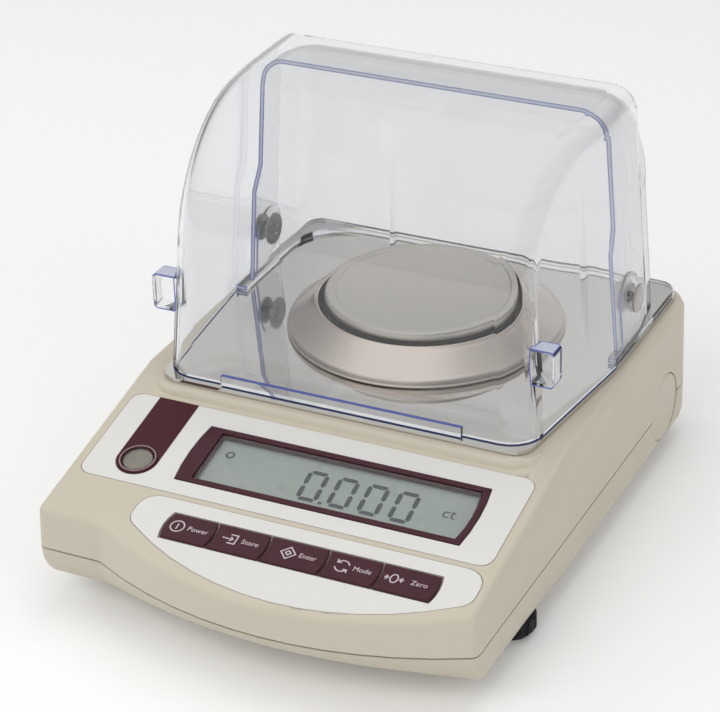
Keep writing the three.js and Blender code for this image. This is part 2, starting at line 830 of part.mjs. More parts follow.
// The lower label: straight along the top, an arc along the foot, rounded at both ends
function keyLabelOutline(margin) {
  const left = keyLabelLeft - margin;
  const right = keyLabelRight + margin;
  const high = keyLabelHigh + margin;
  const radius = keyLabelArcRadius + margin;
  const centreS = keyLabelTip + keyLabelArcRadius;
  const arcS = (x) => centreS - Math.sqrt(radius ** 2 - (x - keyLabelArcX) ** 2);
  const tangentAt = (x) => new THREE.Vector2(centreS - arcS(x), x - keyLabelArcX).normalize();
  const up = new THREE.Vector2(0, 1);
  const across = new THREE.Vector2(1, 0);
  const leftFoot = roundCorner(
    new THREE.Vector2(left, arcS(left)), up.clone().negate(), tangentAt(left), keyLabelFootRadius);
  const rightFoot = roundCorner(
    new THREE.Vector2(right, arcS(right)), tangentAt(right), up, keyLabelFootRadius);
  const points = [...leftFoot];
  const startX = leftFoot[leftFoot.length - 1].x;
  for (let i = 1; i < bellySteps; i += 1) {
    const x = mix(startX, rightFoot[0].x, i / bellySteps);
    points.push(new THREE.Vector2(x, arcS(x)));
  }
  points.push(...rightFoot);
  const cornerRadius = keyLabelCornerRadius - gap;
  points.push(...roundCorner(new THREE.Vector2(right, high), up, across.clone().negate(), cornerRadius));
  points.push(...roundCorner(
    new THREE.Vector2(left, high), across.clone().negate(), up.clone().negate(), cornerRadius));
  return points;
}

function labelOutline(margin) {
  return rectangle(
    labelLeft - margin, labelRight + margin, labelLow - margin, labelHigh + margin, labelRadius);
}

function windowOutline(margin) {
  return barrel(windowLeft - margin, windowRight + margin, windowLow - margin, windowHigh + margin,
    windowBulge, windowBulge);
}

function windowOpening(margin) {
  return barrel(
    windowLeft + windowFrameLeft - margin, windowRight - windowFrameSides + margin,
    windowLow + windowFrameSides - margin, windowHigh - windowFrameSides + margin, 0, windowBulge);
}

function keyStripOutline(margin) {
  return barrel(keyEdges[0] - margin, keyEdges[keyEdges.length - 1] + margin,
    keyStripLow - margin, keyStripHigh + margin, keyEndBulge, keyBulge);
}

function keyCentre(i) {
  return new THREE.Vector2((keyEdges[i] + keyEdges[i + 1]) / 2, (keyStripLow + keyStripHigh) / 2);
}

const screwPlaces = [
  ["front_left", -screwX, screwFrontY],
  ["front_right", screwX, screwFrontY],
  ["rear_left", -screwRearX, screwRearY],
  ["rear_right", screwRearX, screwRearY],
];

const footPlaces = [
  ["front_left", -footFrontX, footFrontY],
  ["front_right", footFrontX, footFrontY],
  ["rear_left", -footRearX, footRearY],
  ["rear_right", footRearX, footRearY],
];

function sideCapHole() {
  return rodAlongX(sideCapRadius + sideCapGap, housingHalfWidth - housingWall - overrun,
    housingHalfWidth + overrun, sideCapY, seamHeight);
}

// Upper housing: skin, ridge, openings for window, level, keys, load post and sockets
function upperHousing() {
  const bottom = seamHeight + seamGap;
  let body = upperBody(0, bottom, filletRows).add(plateRidge());
  const pad = toSolid(
    prism(plateOutline(-platePadInset), platformTop - ridgeShoulder, platformTop + platePadHeight));
  body = body.add(pad).subtract(upperBody(housingWall, bottom - overrun, innerRows));

  const skinDepth = housingWall + overrun;
  const columns = screwPlaces.map(([, x, y]) =>
    upright(screwBossRadius, bottom, skinHeight(y) - housingWall / 2, x, y, smallCircleSteps));
  const pegs = [keyEdges[1], keyEdges[4]].map((x) =>
    panelDisc(keyStemHalfHeight, keyBoardTop + gap, -housingWall / 2, x, keyStripHigh, smallCircleSteps));
  body = join(body, ...columns, ...pegs);

  const labelFloor = labelProud - labelThickness - gap;
  const keyHoles = keyNames.map((name, i) => {
    const { x, y } = keyCentre(i);
    const reachX = keyStemHalfWidth + keyStemHoleMargin;
    const reachS = keyStemHalfHeight + keyStemHoleMargin;
    return onPanel(prism(rectangle(x - reachX, x + reachX, y - reachS, y + reachS), -skinDepth, overrun));
  });
  const screwHoles = screwPlaces.map(([, x, y]) =>
    upright(screwRadius + screwRunning, bottom - overrun, screwTop + gap, x, y, smallCircleSteps));
  const serialHole = rodAlongY(serialNoseRadius + gap, housingRearY - overrun * 2, housingRearY + overrun,
    serialSocketX, socketZ);
  const powerHole = rodAlongY(powerNoseRadius + gap, housingRearY - overrun * 2, housingRearY + overrun,
    powerSocketX, socketZ);
  return cut(
    body,
    onPanel(prism(labelOutline(gap), labelFloor, overrun)),
    onPanel(prism(keyLabelOutline(gap), labelFloor, overrun)),
    onPanel(prism(keyStripOutline(keyPocketMargin), keyPocketFloor, overrun)),
    onPanel(prism(windowOutline(gap), -skinDepth, overrun)),
    panelDisc(levelFlangeRadius + gap, levelFlangeBottom - gap, overrun, levelX, levelS),
    panelDisc(levelBodyRadius + gap, -skinDepth, overrun, levelX, levelS),
    upright(plateHoleRadius, platformTop - skinDepth, platformTop + overrun, 0, panCentreY),
    ...keyHoles,
    ...screwHoles,
    serialHole,
    powerHole,
    sideCapHole(),
  );
}

// Lower housing: a tray with foot bosses and screw bosses
function lowerHousing() {
  const inside = lowerBody(housingWall, seamHeight + overrun, innerRows + 1);
  let body = lowerBody(0, seamHeight, undercutRows).subtract(inside);
  const floorTop = housingBottom + housingWall;
  const screwBosses = screwPlaces.map(([, x, y]) =>
    upright(screwBossRadius, floorTop - housingWall / 2, screwBossTop, x, y, smallCircleSteps));
  const footBosses = footPlaces.map(([, x, y]) =>
    upright(footBossRadius, floorTop - housingWall / 2, chassisBottom - gap, x, y, smallCircleSteps));
  body = join(body, ...screwBosses, ...footBosses);
  const footHoles = footPlaces.map(([, x, y]) =>
    upright(footStudRadius + gap, housingBottom - overrun, chassisBottom + overrun, x, y, smallCircleSteps));
  const screwHoles = screwPlaces.map(([, x, y]) =>
    upright(screwRadius + screwRunning, housingBottom - overrun, seamHeight, x, y, smallCircleSteps));
  const headPockets = screwPlaces.map(([, x, y]) =>
    upright(screwHeadRadius + gap, housingBottom - overrun, housingBottom + screwHeadHeight + gap, x, y,
      smallCircleSteps));
  return cut(body, ...footHoles, ...screwHoles, ...headPockets, sideCapHole());
}

function housingScrew(x, y) {
  const headTop = housingBottom + screwHeadHeight;
  const head = upright(screwHeadRadius, housingBottom, headTop, x, y, smallCircleSteps);
  return head.add(upright(screwRadius, headTop - screwHeadHeight / 2, screwTop, x, y, smallCircleSteps));
}

function sideCap() {
  const outer = housingHalfWidth - upperDraft / 2;
  return rodAlongX(sideCapRadius, outer - sideCapThickness, outer, sideCapY, seamHeight);
}

// Weighing plate: sheet with a turned-down edge
function weighingPlate() {
  const sheet = toSolid(prism(plateOutline(0), plateSkirtBottom, plateTop));
  const hollow = toSolid(
    prism(plateOutline(-plateThickness), plateSkirtBottom - overrun, plateTop - plateThickness));
  const hole = upright(plateHoleRadius, plateSkirtBottom - overrun, plateTop + overrun, 0, panCentreY);
  return cut(sheet, hollow, hole);
}

// Wind ring: a coned sheet on a flat foot
function windRing() {
  const bottom = plateTop + gap;
  const top = bottom + ringHeight;
  return turned([
    [ringStepRadius - ringSheet, bottom],
    [ringOuterRadius, bottom],
    [ringOuterRadius, bottom + ringFlangeHeight],
    [ringStepRadius, bottom + ringFlangeHeight],
    [ringTopRadius, top - ringLipDrop / 4],
    [ringTopRadius - ringLipDrop / 2, top],
    [ringOpeningRadius, top - ringLipDrop / 4],
    [ringOpeningRadius, top - ringLipDrop],
    [ringTopRadius - ringSheet, top - ringLipDrop * 2],
    [ringStepRadius - ringSheet, bottom + ringFlangeHeight / 2],
    [ringStepRadius - ringSheet, bottom],
  ], 0, panCentreY);
}

// Weighing pan: flat top, rounded edge turned down, socket below
function weighingPan() {
  const bend = panRadius - panFlatRadius;
  const profile = [[0, panTop - panSheet]];
  const underBend = bend - panSheet;
  for (let i = 0; i <= cornerSteps; i += 1) {
    const angle = (Math.PI / 2) * (i / cornerSteps);
    profile.push([
      panFlatRadius + underBend * Math.sin(angle),
      panTop - panSheet - (panRimDrop - panSheet) * (1 - Math.cos(angle)),
    ]);
  }
  for (let i = cornerSteps; i >= 0; i -= 1) {
    const angle = (Math.PI / 2) * (i / cornerSteps);
    profile.push([
      panFlatRadius + bend * Math.sin(angle),
      panTop - panRimDrop * (1 - Math.cos(angle)),
    ]);
  }
  profile.push([0, panTop]);
  const dish = turned(profile, 0, panCentreY);
  const socket = upright(panSocketOuterRadius, panSocketBottom, panTop - panSheet / 2, 0, panCentreY);
  const bore = upright(panSocketInnerRadius, panSocketBottom - overrun, panTop - panSheet, 0, panCentreY);
  return cut(dish.add(socket), bore);
}

// Pan support: a dish on a hub, with seats for the pan and ribs below
function panSupport() {
  const outline = [
    [0, supportDiscBottom],
    [supportRadius - supportWall, supportDiscBottom],
    [supportRadius - supportWall, supportSkirtBottom],
    [supportRadius, supportSkirtBottom],
    [supportRadius, supportDiscTop],
    [0, supportDiscTop],
  ];
  const dish = turned(outline, 0, panCentreY);
  const hub = upright(supportHubRadius, supportHubBottom, supportHubTop, 0, panCentreY, smallCircleSteps);
  const seats = [];
  for (let i = 0; i < supportSeatCount; i += 1) {
    const angle = (2 * Math.PI * (i + 1 / 4)) / supportSeatCount;
    const x = supportSeatCircle * Math.cos(angle);
    const y = panCentreY + supportSeatCircle * Math.sin(angle);
    const seatBottom = mix(supportDiscBottom, supportDiscTop, 1 / 2);
    seats.push(upright(supportSeatRadius, seatBottom, panTop - panSheet - gap, x, y, smallCircleSteps));
  }
  const ribs = [];
  for (let i = 0; i < supportRibCount / 2; i += 1) {
    const length = supportRadius - supportWall / 2;
    const geometry = new THREE.BoxGeometry(length * 2, supportRibWidth, supportRibDrop * 2);
    geometry.rotateZ((2 * Math.PI * i) / supportRibCount);
    ribs.push(toSolid(geometry.translate(0, panCentreY, supportDiscBottom)));
  }
  const bore = upright(loadPostRadius + loadPostRunning, supportHubBottom - overrun,
    loadPostTop + gap, 0, panCentreY, smallCircleSteps);
  return cut(join(dish, hub, ...seats, ...ribs), bore);
}

// A hood as a closed body. Its side profile runs from the foot of the upright wall over the
// crown to the open edge; each end of every section is rounded over toward the side walls.
// stations: {y, z, ny, nz, radius}; rim: the open edge of the side walls as [y, z], from the
// crown's edge round to the foot; halfWidthAt(y, z) places the side walls; turn is -1 when
// the crown runs toward the front instead of the back.
function hoodBody(stations, rim, halfWidthAt, kinkY, turn) {
  const faces = new Faces();
  const rows = stations.map(({ y, z, ny, nz, radius }) => {
    const place = (angle, side) => {
      const depth = radius * (1 - Math.cos(angle));
      const [py, pz] = [y - ny * depth, z - nz * depth];
      const halfWidth = halfWidthAt(py, pz);
      const reach = halfWidth - radius * (1 - Math.sin(angle));
      return new THREE.Vector3(side * reach, py, pz);
    };
    const angles = [];
    for (let i = 0; i <= cornerSteps + 1; i += 1) angles.push((Math.PI / 2) * (i / (cornerSteps + 1)));
    return [
      ...[...angles].reverse().map((angle) => place(angle, -1)),
      ...angles.map((angle) => place(angle, 1)),
    ];
  });
  const quad = (a, b, c, d) => (turn > 0 ? faces.quad(a, b, c, d) : faces.quad(d, c, b, a));
  for (let row = 0; row + 1 < rows.length; row += 1) {
    for (let i = 0; i + 1 < rows[row].length; i += 1) {
      quad(rows[row][i], rows[row][i + 1], rows[row + 1][i + 1], rows[row + 1][i]);
    }
  }

  const sidePoint = ([y, z], side) => new THREE.Vector3(side * halfWidthAt(y, z), y, z);
  [1, -1].forEach((side) => {
    const edge = rows.map((row) => (side > 0 ? row[row.length - 1] : row[0]));
    const loop = [...edge, ...rim.map((place) => sidePoint(place, side))];
    const parts = [
      loop.filter((p) => (p.y - kinkY) * turn <= weldDistance),
      loop.filter((p) => (p.y - kinkY) * turn >= -weldDistance),
    ];
    parts.filter((part) => part.length > 2).forEach((part) => {
      faces.fill(part, part.map((p) => new THREE.Vector2(p.y, p.z)), side);
    });
  });

  const last = rows[rows.length - 1];
  const border = (side) => [
    side > 0 ? last[last.length - 1] : last[0],
    ...rim.map((place) => sidePoint(place, side)),
    side > 0 ? rows[0][rows[0].length - 1] : rows[0][0],
  ];
  const [leftBorder, rightBorder] = [border(-1), border(1)];
  for (let i = 0; i + 1 < leftBorder.length; i += 1) {
    quad(leftBorder[i], rightBorder[i], rightBorder[i + 1], leftBorder[i + 1]);
  }
  for (let i = 1; i + 1 < last.length; i += 1) {
    const [first, foot] = [last[0], rows[0]];
    if (turn > 0) faces.triangle(first, last[i], last[i + 1]);
    else faces.triangle(first, last[i + 1], last[i]);
    if (turn > 0) faces.triangle(foot[0], foot[i + 1], foot[i]);
    else faces.triangle(foot[0], foot[i], foot[i + 1]);
  }
  return toSolid(faces.geometry());
}

function drawnIn(stations, wall) {
  return stations.map(({ y, z, ny, nz, radius }) => (
    { y: y - ny * wall, z: z - nz * wall, ny, nz, radius: radius - wall }
  ));
}

// Side profile of the rear hood: upright back wall, quarter circle, flat crown
function rearHoodStations(footZ, edgeY) {
  const centreY = rearHoodBackY - rearHoodArcRadius;
  const centreZ = rearHoodCrownZ - rearHoodArcRadius;
  const stations = [{ y: rearHoodBackY, z: footZ, ny: 1, nz: 0, radius: rearHoodPlanRadius }];
  for (let i = 0; i <= cornerSteps * 3; i += 1) {
    const share = i / (cornerSteps * 3);
    const angle = (Math.PI / 2) * share;
    stations.push({
      y: centreY + rearHoodArcRadius * Math.cos(angle),
      z: centreZ + rearHoodArcRadius * Math.sin(angle),
      ny: Math.cos(angle),
      nz: Math.sin(angle),
      radius: mix(rearHoodPlanRadius, rearHoodCrownRadius, share),
    });
  }
  stations.push({ y: edgeY, z: rearHoodCrownZ, ny: 0, nz: 1, radius: rearHoodCrownRadius });
  return stations;
}

function rearWallX(wall) {
  return (y, z) => rearHoodFootHalfWidth - wall - hoodTaperShare * (z - plateTop);
}

// Rear hood: open at the front, with a flange, two hinge posts and two ribs on the back wall
function rearHood() {
  const footZ = plateTop + gap;
  const outerRim = [
    [rearHoodFrontY, rearHoodJawTopZ],
    [rearHoodJawY, rearHoodJawBottomZ],
    [rearHoodJawY, footZ],
  ];
  const outer = hoodBody(rearHoodStations(footZ, rearHoodFrontY), outerRim, rearWallX(0),
    rearHoodBackY, -1);
  const openY = flangeFrontY - overrun;
  const innerRim = [[openY, footZ - overrun]];
  const innerStations = drawnIn(rearHoodStations(footZ - overrun, openY), rearHoodWall);
  const inner = hoodBody(innerStations, innerRim, rearWallX(rearHoodWall), rearHoodBackY, -1);

  const flangeOutline = roundedOutline([
    [-flangeHalfWidth, flangeFrontY, 0],
    [flangeHalfWidth, flangeFrontY, 0],
    [flangeHalfWidth, flangeRearY, flangeCornerRadius],
    [-flangeHalfWidth, flangeRearY, flangeCornerRadius],
  ]);
  const flange = toSolid(prism(flangeOutline, footZ, footZ + flangeThickness));
  const posts = [-1, 1].map((side) => hingePost(side, footZ));
  const shell = cut(join(outer, flange, ...posts), inner);
  const ribs = [-hoodRibX, hoodRibX].map((x) => hoodRib(x, footZ));
  const shaftReach = frontHoodHalfWidth + overrun;
  const shaftHole = rodAlongX(pivotShaftRadius + pivotRunning, -shaftReach, shaftReach,
    pivotY, pivotZ, smallCircleSteps);
  return cut(join(shell, ...ribs), shaftHole);
}

// A post with a round head outside each side wall, which spaces the front hood off the rear one
function hingePost(side, footZ) {
  const outline = [[hingePostHalfWidth, footZ - pivotZ], [hingePostHalfWidth, 0]];
  for (let i = 1; i < cornerSteps * 3; i += 1) {
    const angle = (Math.PI * i) / (cornerSteps * 3);
    outline.push([hingePostHalfWidth * Math.cos(angle), hingePostHalfWidth * Math.sin(angle)]);
  }
  outline.push([-hingePostHalfWidth, 0], [-hingePostHalfWidth, footZ - pivotZ]);
  const points = outline.map(([y, z]) => new THREE.Vector2(pivotY + y, pivotZ + z));
  const outerX = rearHoodFootHalfWidth + hingePostThickness;
  const rootX = rearHoodFootHalfWidth - rearHoodWall / 2;
  const [left, right] = side > 0 ? [rootX, outerX] : [-outerX, -rootX];
  const lean = new THREE.Matrix4().makeShear(0, 0, 0, 0, -side * hoodTaperShare, 0);
  const geometry = sidePrism(points, left, right).translate(0, 0, -plateTop);
  return toSolid(geometry.applyMatrix4(lean).translate(0, 0, plateTop));
}

function hoodRib(x, footZ) {
  const back = rearHoodBackY - rearHoodWall / 2;
  const outline = [
    new THREE.Vector2(back - hoodRibDepth - rearHoodWall / 2, footZ),
    new THREE.Vector2(back, footZ),
    new THREE.Vector2(back, hoodRibTopZ),
  ];
  return toSolid(sidePrism(outline, x - hoodRibWidth / 2, x + hoodRibWidth / 2));
}

// Side profile of the front hood: leaning front wall, quarter ellipse, flat crown
function frontHoodStations(footZ, edgeY) {
  const centreZ = frontHoodShoulderZ;
  const reachY = frontHoodCrownStartY - (frontHoodFrontY + frontHoodLean);
  const reachZ = frontHoodCrownZ - centreZ;
  const leanAngle = Math.atan2(frontHoodLean, centreZ - frontHoodBottomZ);
  const footY = frontHoodFrontY + (footZ - frontHoodBottomZ) * Math.tan(leanAngle);
  const stations = [{ y: footY, z: footZ, ny: -1, nz: 0, radius: frontHoodPlanRadius }];
  const steps = cornerSteps * 3;
  for (let i = 0; i <= steps; i += 1) {
    const share = i / steps;
    const angle = (Math.PI / 2) * share;
    const normal = new THREE.Vector2(-Math.cos(angle) / reachY, Math.sin(angle) / reachZ).normalize();
    stations.push({
      y: frontHoodCrownStartY - reachY * Math.cos(angle),
      z: centreZ + reachZ * Math.sin(angle),
      ny: normal.x,
      nz: normal.y,
      radius: mix(frontHoodPlanRadius, frontHoodCrownRadius, share),
    });
  }
  const crown = { z: frontHoodCrownZ, ny: 0, nz: 1, radius: frontHoodCrownRadius };
  stations.push({ y: frontHoodKinkY, ...crown });
  stations.push({ y: edgeY, ...crown });
  return stations;
}

function frontWallX(wall) {
  return (y, z) => {
    const share = Math.min(1, (y - frontHoodFrontY) / (frontHoodKinkY - frontHoodFrontY));
    const base = mix(frontHoodFrontHalfWidth, frontHoodHalfWidth, share);
    return base - wall - hoodTaperShare * (z - plateTop);
  };
}

// Front hood: tapers toward the front, with round hinge ears, a thick lip and two finger lugs
function frontHood() {
  const stepZ = plateTop + gap + flangeThickness + gap * 2;
  const earRadius = pivotZ - stepZ;
  const earStart = -Math.acos((frontHoodRearY - pivotY) / earRadius);
  const ear = [];
  for (let i = 0; i <= cornerSteps; i += 1) {
    const angle = mix(earStart, -Math.PI / 2, i / cornerSteps);
    ear.push([pivotY + earRadius * Math.cos(angle), pivotZ + earRadius * Math.sin(angle)]);
  }
  const outerRim = [
    ...ear,
    [frontHoodKinkY, stepZ],
    [frontHoodKinkY, frontHoodBottomZ],
  ];
  const outer = hoodBody(frontHoodStations(frontHoodBottomZ, frontHoodRearY), outerRim,
    frontWallX(0), frontHoodKinkY, 1);
  const openZ = frontHoodBottomZ - overrun;
  const innerRim = [
    [frontHoodRearY + overrun, openZ],
    [frontHoodKinkY, openZ],
  ];
  const innerStations = drawnIn(frontHoodStations(openZ, frontHoodRearY + overrun), frontHoodWall);
  const inner = hoodBody(innerStations, innerRim, frontWallX(frontHoodWall), frontHoodKinkY, 1);
  const lip = block(-lipHalfLength, lipHalfLength, frontHoodFrontY - lipProud,
    frontHoodFrontY - lipProud + lipDepth, frontHoodBottomZ, frontHoodBottomZ + lipHeight);
  const lugs = [-1, 1].map((side) => fingerLug(side));
  const lugHollows = [-1, 1].map((side) => lugHollow(side));
  const shaftReach = frontHoodHalfWidth + overrun;
  const shaftHole = rodAlongX(pivotShaftRadius + pivotRunning, -shaftReach, shaftReach,
    pivotY, pivotZ, smallCircleSteps);
  const shell = cut(outer, inner);
  return cut(join(shell, lip, ...lugs), ...lugHollows, shaftHole);
}

// A prism whose outline is drawn from the front, in X and Z
function frontPrism(outline, front, rear) {
  const shape = new THREE.Shape(outline);
  const geometry = new THREE.ExtrudeGeometry(shape, { depth: rear - front, bevelEnabled: false });
  return geometry.rotateX(Math.PI / 2).translate(0, rear, 0);
}

// A finger lug stands out from the side wall with its two outer corners rounded
function fingerLug(side) {
  const inner = frontWallX(frontHoodWall / 2)(lugFrontY, lugBottomZ + lugHeight);
  const top = lugBottomZ + lugHeight;
  const outline = roundedOutline([
    [inner, lugBottomZ, 0],
    [lugOuterX, lugBottomZ, lugRadius],
    [lugOuterX, top, lugRadius],
    [inner, top, 0],
  ]);
  const lug = toSolid(frontPrism(outline, lugFrontY, lugFrontY + lugDepth));
  return side > 0 ? lug : lug.mirror([1, 0, 0]);
}

// The lug is a pocket that opens into the hood
function lugHollow(side) {
  const inner = frontWallX(frontHoodWall)(lugFrontY, lugBottomZ + lugHeight) - overrun;
  const outer = lugOuterX - lugWall;
  const [left, right] = side > 0 ? [inner, outer] : [-outer, -inner];
  return block(left, right, lugFrontY + lugWall, lugFrontY + lugDepth - lugWall,
    lugBottomZ + lugWall, lugBottomZ + lugHeight - lugWall);
}

// Pivot pin: domed head outside the front hood, shaft through both hoods
function pivotPin(side) {
  const seatX = frontWallX(0)(pivotY, pivotZ - pivotHeadRadius) + gap;
  const innerX = rearWallX(rearHoodWall)(pivotY, pivotZ) - pushNutThickness - shaftEndProud;
  const profile = [
    [0, innerX],
    [pivotShaftRadius, innerX],
    [pivotShaftRadius, seatX],
    [pivotHeadRadius, seatX],
    [pivotHeadRadius, seatX + pivotHeadThickness - pivotHeadCrown],
    [pivotHeadRadius * (2 / 3), seatX + pivotHeadThickness - pivotHeadCrown / 4],
    [0, seatX + pivotHeadThickness],
  ];
  const points = profile.map(([radius, height]) => new THREE.Vector2(radius, height));
  const geometry = new THREE.LatheGeometry(points, smallCircleSteps);
  geometry.rotateZ(side > 0 ? -Math.PI / 2 : Math.PI / 2);
  return toSolid(geometry.translate(0, pivotY, pivotZ));
}

// Push nut: a toothed spring washer on the pin's inner end
function pushNut(side) {
  const outerX = rearWallX(rearHoodWall)(pivotY, pivotZ + pushNutRadius) - gap;
  const innerX = outerX - pushNutThickness;
  const [left, right] = side > 0 ? [innerX, outerX] : [-outerX, -innerX];
  let body = rodAlongX(pushNutRadius, left, right, pivotY, pivotZ, smallCircleSteps);
  body = cut(body, rodAlongX(
    pushNutHoleRadius, left - overrun, right + overrun, pivotY, pivotZ, smallCircleSteps));
  for (let i = 0; i < pushNutTeeth; i += 1) {
    const length = pushNutRadius * (2 / 3);
    const geometry = new THREE.BoxGeometry(pushNutThickness + overrun, length, pushNutSlotWidth);
    geometry.translate((left + right) / 2, length / 2, 0);
    geometry.rotateX((2 * Math.PI * i) / pushNutTeeth);
    body = body.subtract(toSolid(geometry.translate(0, pivotY, pivotZ)));
  }
  return body;
}

// Labels: thin sheets let into the panel
function displayLabel() {
  const [bottom, top] = [labelProud - labelThickness, labelProud];
  return cut(
    onPanel(prism(labelOutline(0), bottom, top)),
    onPanel(prism(windowOutline(gap), bottom - overrun, top + overrun)),
    panelDisc(levelFlangeRadius + gap, bottom - overrun, top + overrun, levelX, levelS),
  );
}

function keyLabel() {
  const [bottom, top] = [labelProud - labelThickness, labelProud];
  return cut(
    onPanel(prism(keyLabelOutline(0), bottom, top)),
    onPanel(prism(keyStripOutline(keyPocketMargin), bottom - overrun, top + overrun)),
  );
}

// Display: frame with a ledge, clear window, LCD, holder and board
function windowFrame() {
  const bottom = windowFrameTop - windowFrameDepth;
  const ledgeTop = -lensDrop - lensThickness - gap;
  return cut(
    onPanel(prism(windowOutline(0), bottom, windowFrameTop)),
    onPanel(prism(windowOpening(0), ledgeTop, windowFrameTop + overrun)),
    onPanel(prism(windowOpening(-windowLedge), bottom - overrun, windowFrameTop)),
  );
}

function displayWindow() {
  return onPanel(prism(windowOpening(-gap), -lensDrop - lensThickness, -lensDrop));
}

function lcdOutline(margin) {
  return rectangle(windowLeft + lcdMargin - margin, windowRight + margin,
    windowLow - margin, windowHigh + margin);
}

function lcdPanel() {
  return onPanel(prism(lcdOutline(0), lcdTop - lcdThickness, lcdTop));
}

function lcdHolder() {
  const bottom = lcdTop - holderThickness - gap;
  const pocketFloor = bottom + holderFloor;
  const body = onPanel(prism(lcdOutline(holderWall + gap), bottom, lcdTop - gap));
  const pocket = onPanel(prism(lcdOutline(gap), pocketFloor, lcdTop + overrun));
  const light = onPanel(prism(lcdOutline(-holderWall * 2), bottom - overrun, pocketFloor + overrun));
  return cut(body, pocket, light);
}

function displayBoard() {
  const top = lcdTop - holderThickness - gap * 2;
  const bottom = top - boardThickness;
  const board = onPanel(prism(lcdOutline(holderWall), bottom, top));
  const chipBox = rectangle(
    windowLeft / 2, windowRight / 2, windowLow + lcdMargin * 3, windowHigh - lcdMargin * 3);
  return board.add(onPanel(prism(chipBox, bottom - chipHeight, bottom + boardThickness / 2)));
}

// One key: a shallow cushion with sloping edges on a stem
function keyCap(i) {
  const left = keyEdges[i] + keySeparation / 2;
  const right = keyEdges[i + 1] - keySeparation / 2;
  const low = keyStripLow + gap;
  const high = keyStripHigh - gap;
  const centre = keyCentre(i);
  const leftBulge = i === 0 ? keyEndBulge : -keyBulge;
  const outline = barrel(left, right, low, high, leftBulge, keyBulge);
  const inner = barrel(left + keyEdgeSlope, right - keyEdgeSlope, low + keyEdgeSlope, high - keyEdgeSlope,
    leftBulge, keyBulge);
  const faces = new Faces();
  const shoulder = labelProud;
  const loops = [[outline, keyBottom], [outline, shoulder], [inner, keyTop]].map(([points, height]) => (
    points.map((p) => new THREE.Vector3(p.x, p.y, height))
  ));
  for (let row = 0; row + 1 < loops.length; row += 1) {
    loops[row].forEach((point, j) => {
      const next = (j + 1) % loops[row].length;
      faces.quad(point, loops[row][next], loops[row + 1][next], loops[row + 1][j]);
    });
  }
  faces.fill(loops[0], outline, -1);
  faces.fill(loops[2], inner, 1);
  const stem = prism(
    rectangle(centre.x - keyStemHalfWidth, centre.x + keyStemHalfWidth,
      centre.y - keyStemHalfHeight, centre.y + keyStemHalfHeight),
    keyStemBottom, (keyBottom + shoulder) / 2);
  return onPanel(faces.geometry()).add(onPanel(stem));
}

// Key board with its five switches
function keyBoard() {
  const outline = rectangle(keyEdges[0] - keyBoardMargin, keyEdges[keyEdges.length - 1] + keyBoardMargin,
    keyStripLow - keyBoardMargin / 2, keyStripHigh + keyBoardMargin);
  let board = onPanel(prism(outline, keyBoardTop - boardThickness, keyBoardTop));
  keyNames.forEach((name, i) => {
    const { x, y } = keyCentre(i);
    const body = rectangle(
      x - switchHalfWidth, x + switchHalfWidth, y - switchHalfWidth, y + switchHalfWidth);
    board = join(
      board,
      onPanel(prism(body, keyBoardTop - boardThickness / 2, switchTop)),
      panelDisc(
        switchPlungerRadius, switchTop - boardThickness / 2, switchPlungerTop, x, y, smallCircleSteps),
    );
  });
  return board;
}

// Spirit level: flanged cup, fluid with the bubble's hollow, domed lens
function levelCup() {
  const floor = levelBottom + levelFloor;
  return panelTurned([
    [0, levelBottom],
    [levelBodyRadius, levelBottom],
    [levelBodyRadius, levelFlangeBottom],
    [levelFlangeRadius, levelFlangeBottom],
    [levelFlangeRadius, levelFlangeTop - labelThickness],
    [levelFlangeRadius - labelThickness, levelFlangeTop],
    [levelBoreRadius, levelFlangeTop],
    [levelBoreRadius, floor],
    [0, floor],
  ], levelX, levelS);
}

function levelFluid() {
  const bottom = levelBottom + levelFloor + gap;
  const radius = levelBoreRadius - gap;
  return panelTurned([
    [0, bottom],
    [radius, bottom],
    [radius, levelFluidTop],
    [levelBubbleRadius, levelFluidTop],
    [levelBubbleRadius * (3 / 4), levelFluidTop - levelBubbleDepth * (3 / 4)],
    [0, levelFluidTop - levelBubbleDepth],
  ], levelX, levelS);
}

function levelLens() {
  const radius = levelBoreRadius - gap;
  const crown = levelLensCrown - levelLensEdge;
  return panelTurned([
    [0, levelLensBottom],
    [radius, levelLensBottom],
    [radius, levelLensEdge],
    [radius * (2 / 3), levelLensEdge + crown * (5 / 9)],
    [radius / 3, levelLensEdge + crown * (8 / 9)],
    [0, levelLensCrown],
  ], levelX, levelS);
}

// Levelling foot: rubber pad below, knurled dial with its stud above
function footPad(x, y) {
  return turned([
    [0, 0],
    [footPadRadius - footPadHeight / 2, 0],
    [footPadRadius, footPadHeight / 2],
    [footPadRadius, footPadHeight],
    [0, footPadHeight],
  ], x, y, smallCircleSteps);
}

function footDial(x, y) {
  const chamfer = footGrooveRadius;
  let dial = turned([
    [0, footDialBottom],
    [footDialRadius - chamfer, footDialBottom],
    [footDialRadius, footDialBottom + chamfer],
    [footDialRadius, footDialTop - chamfer],
    [footDialRadius - chamfer, footDialTop],
    [0, footDialTop],
  ], x, y, footDialSteps);
  for (let i = 0; i < footGrooves; i += 1) {
    const angle = (2 * Math.PI * i) / footGrooves;
    const [gx, gy] = [x + footDialRadius * Math.cos(angle), y + footDialRadius * Math.sin(angle)];
    dial = dial.subtract(upright(footGrooveRadius, 0, footDialTop + overrun, gx, gy,
      footGrooveSteps));
  }
  return dial.add(upright(footStudRadius, footDialTop - chamfer, footStudTop, x, y, smallCircleSteps));
}

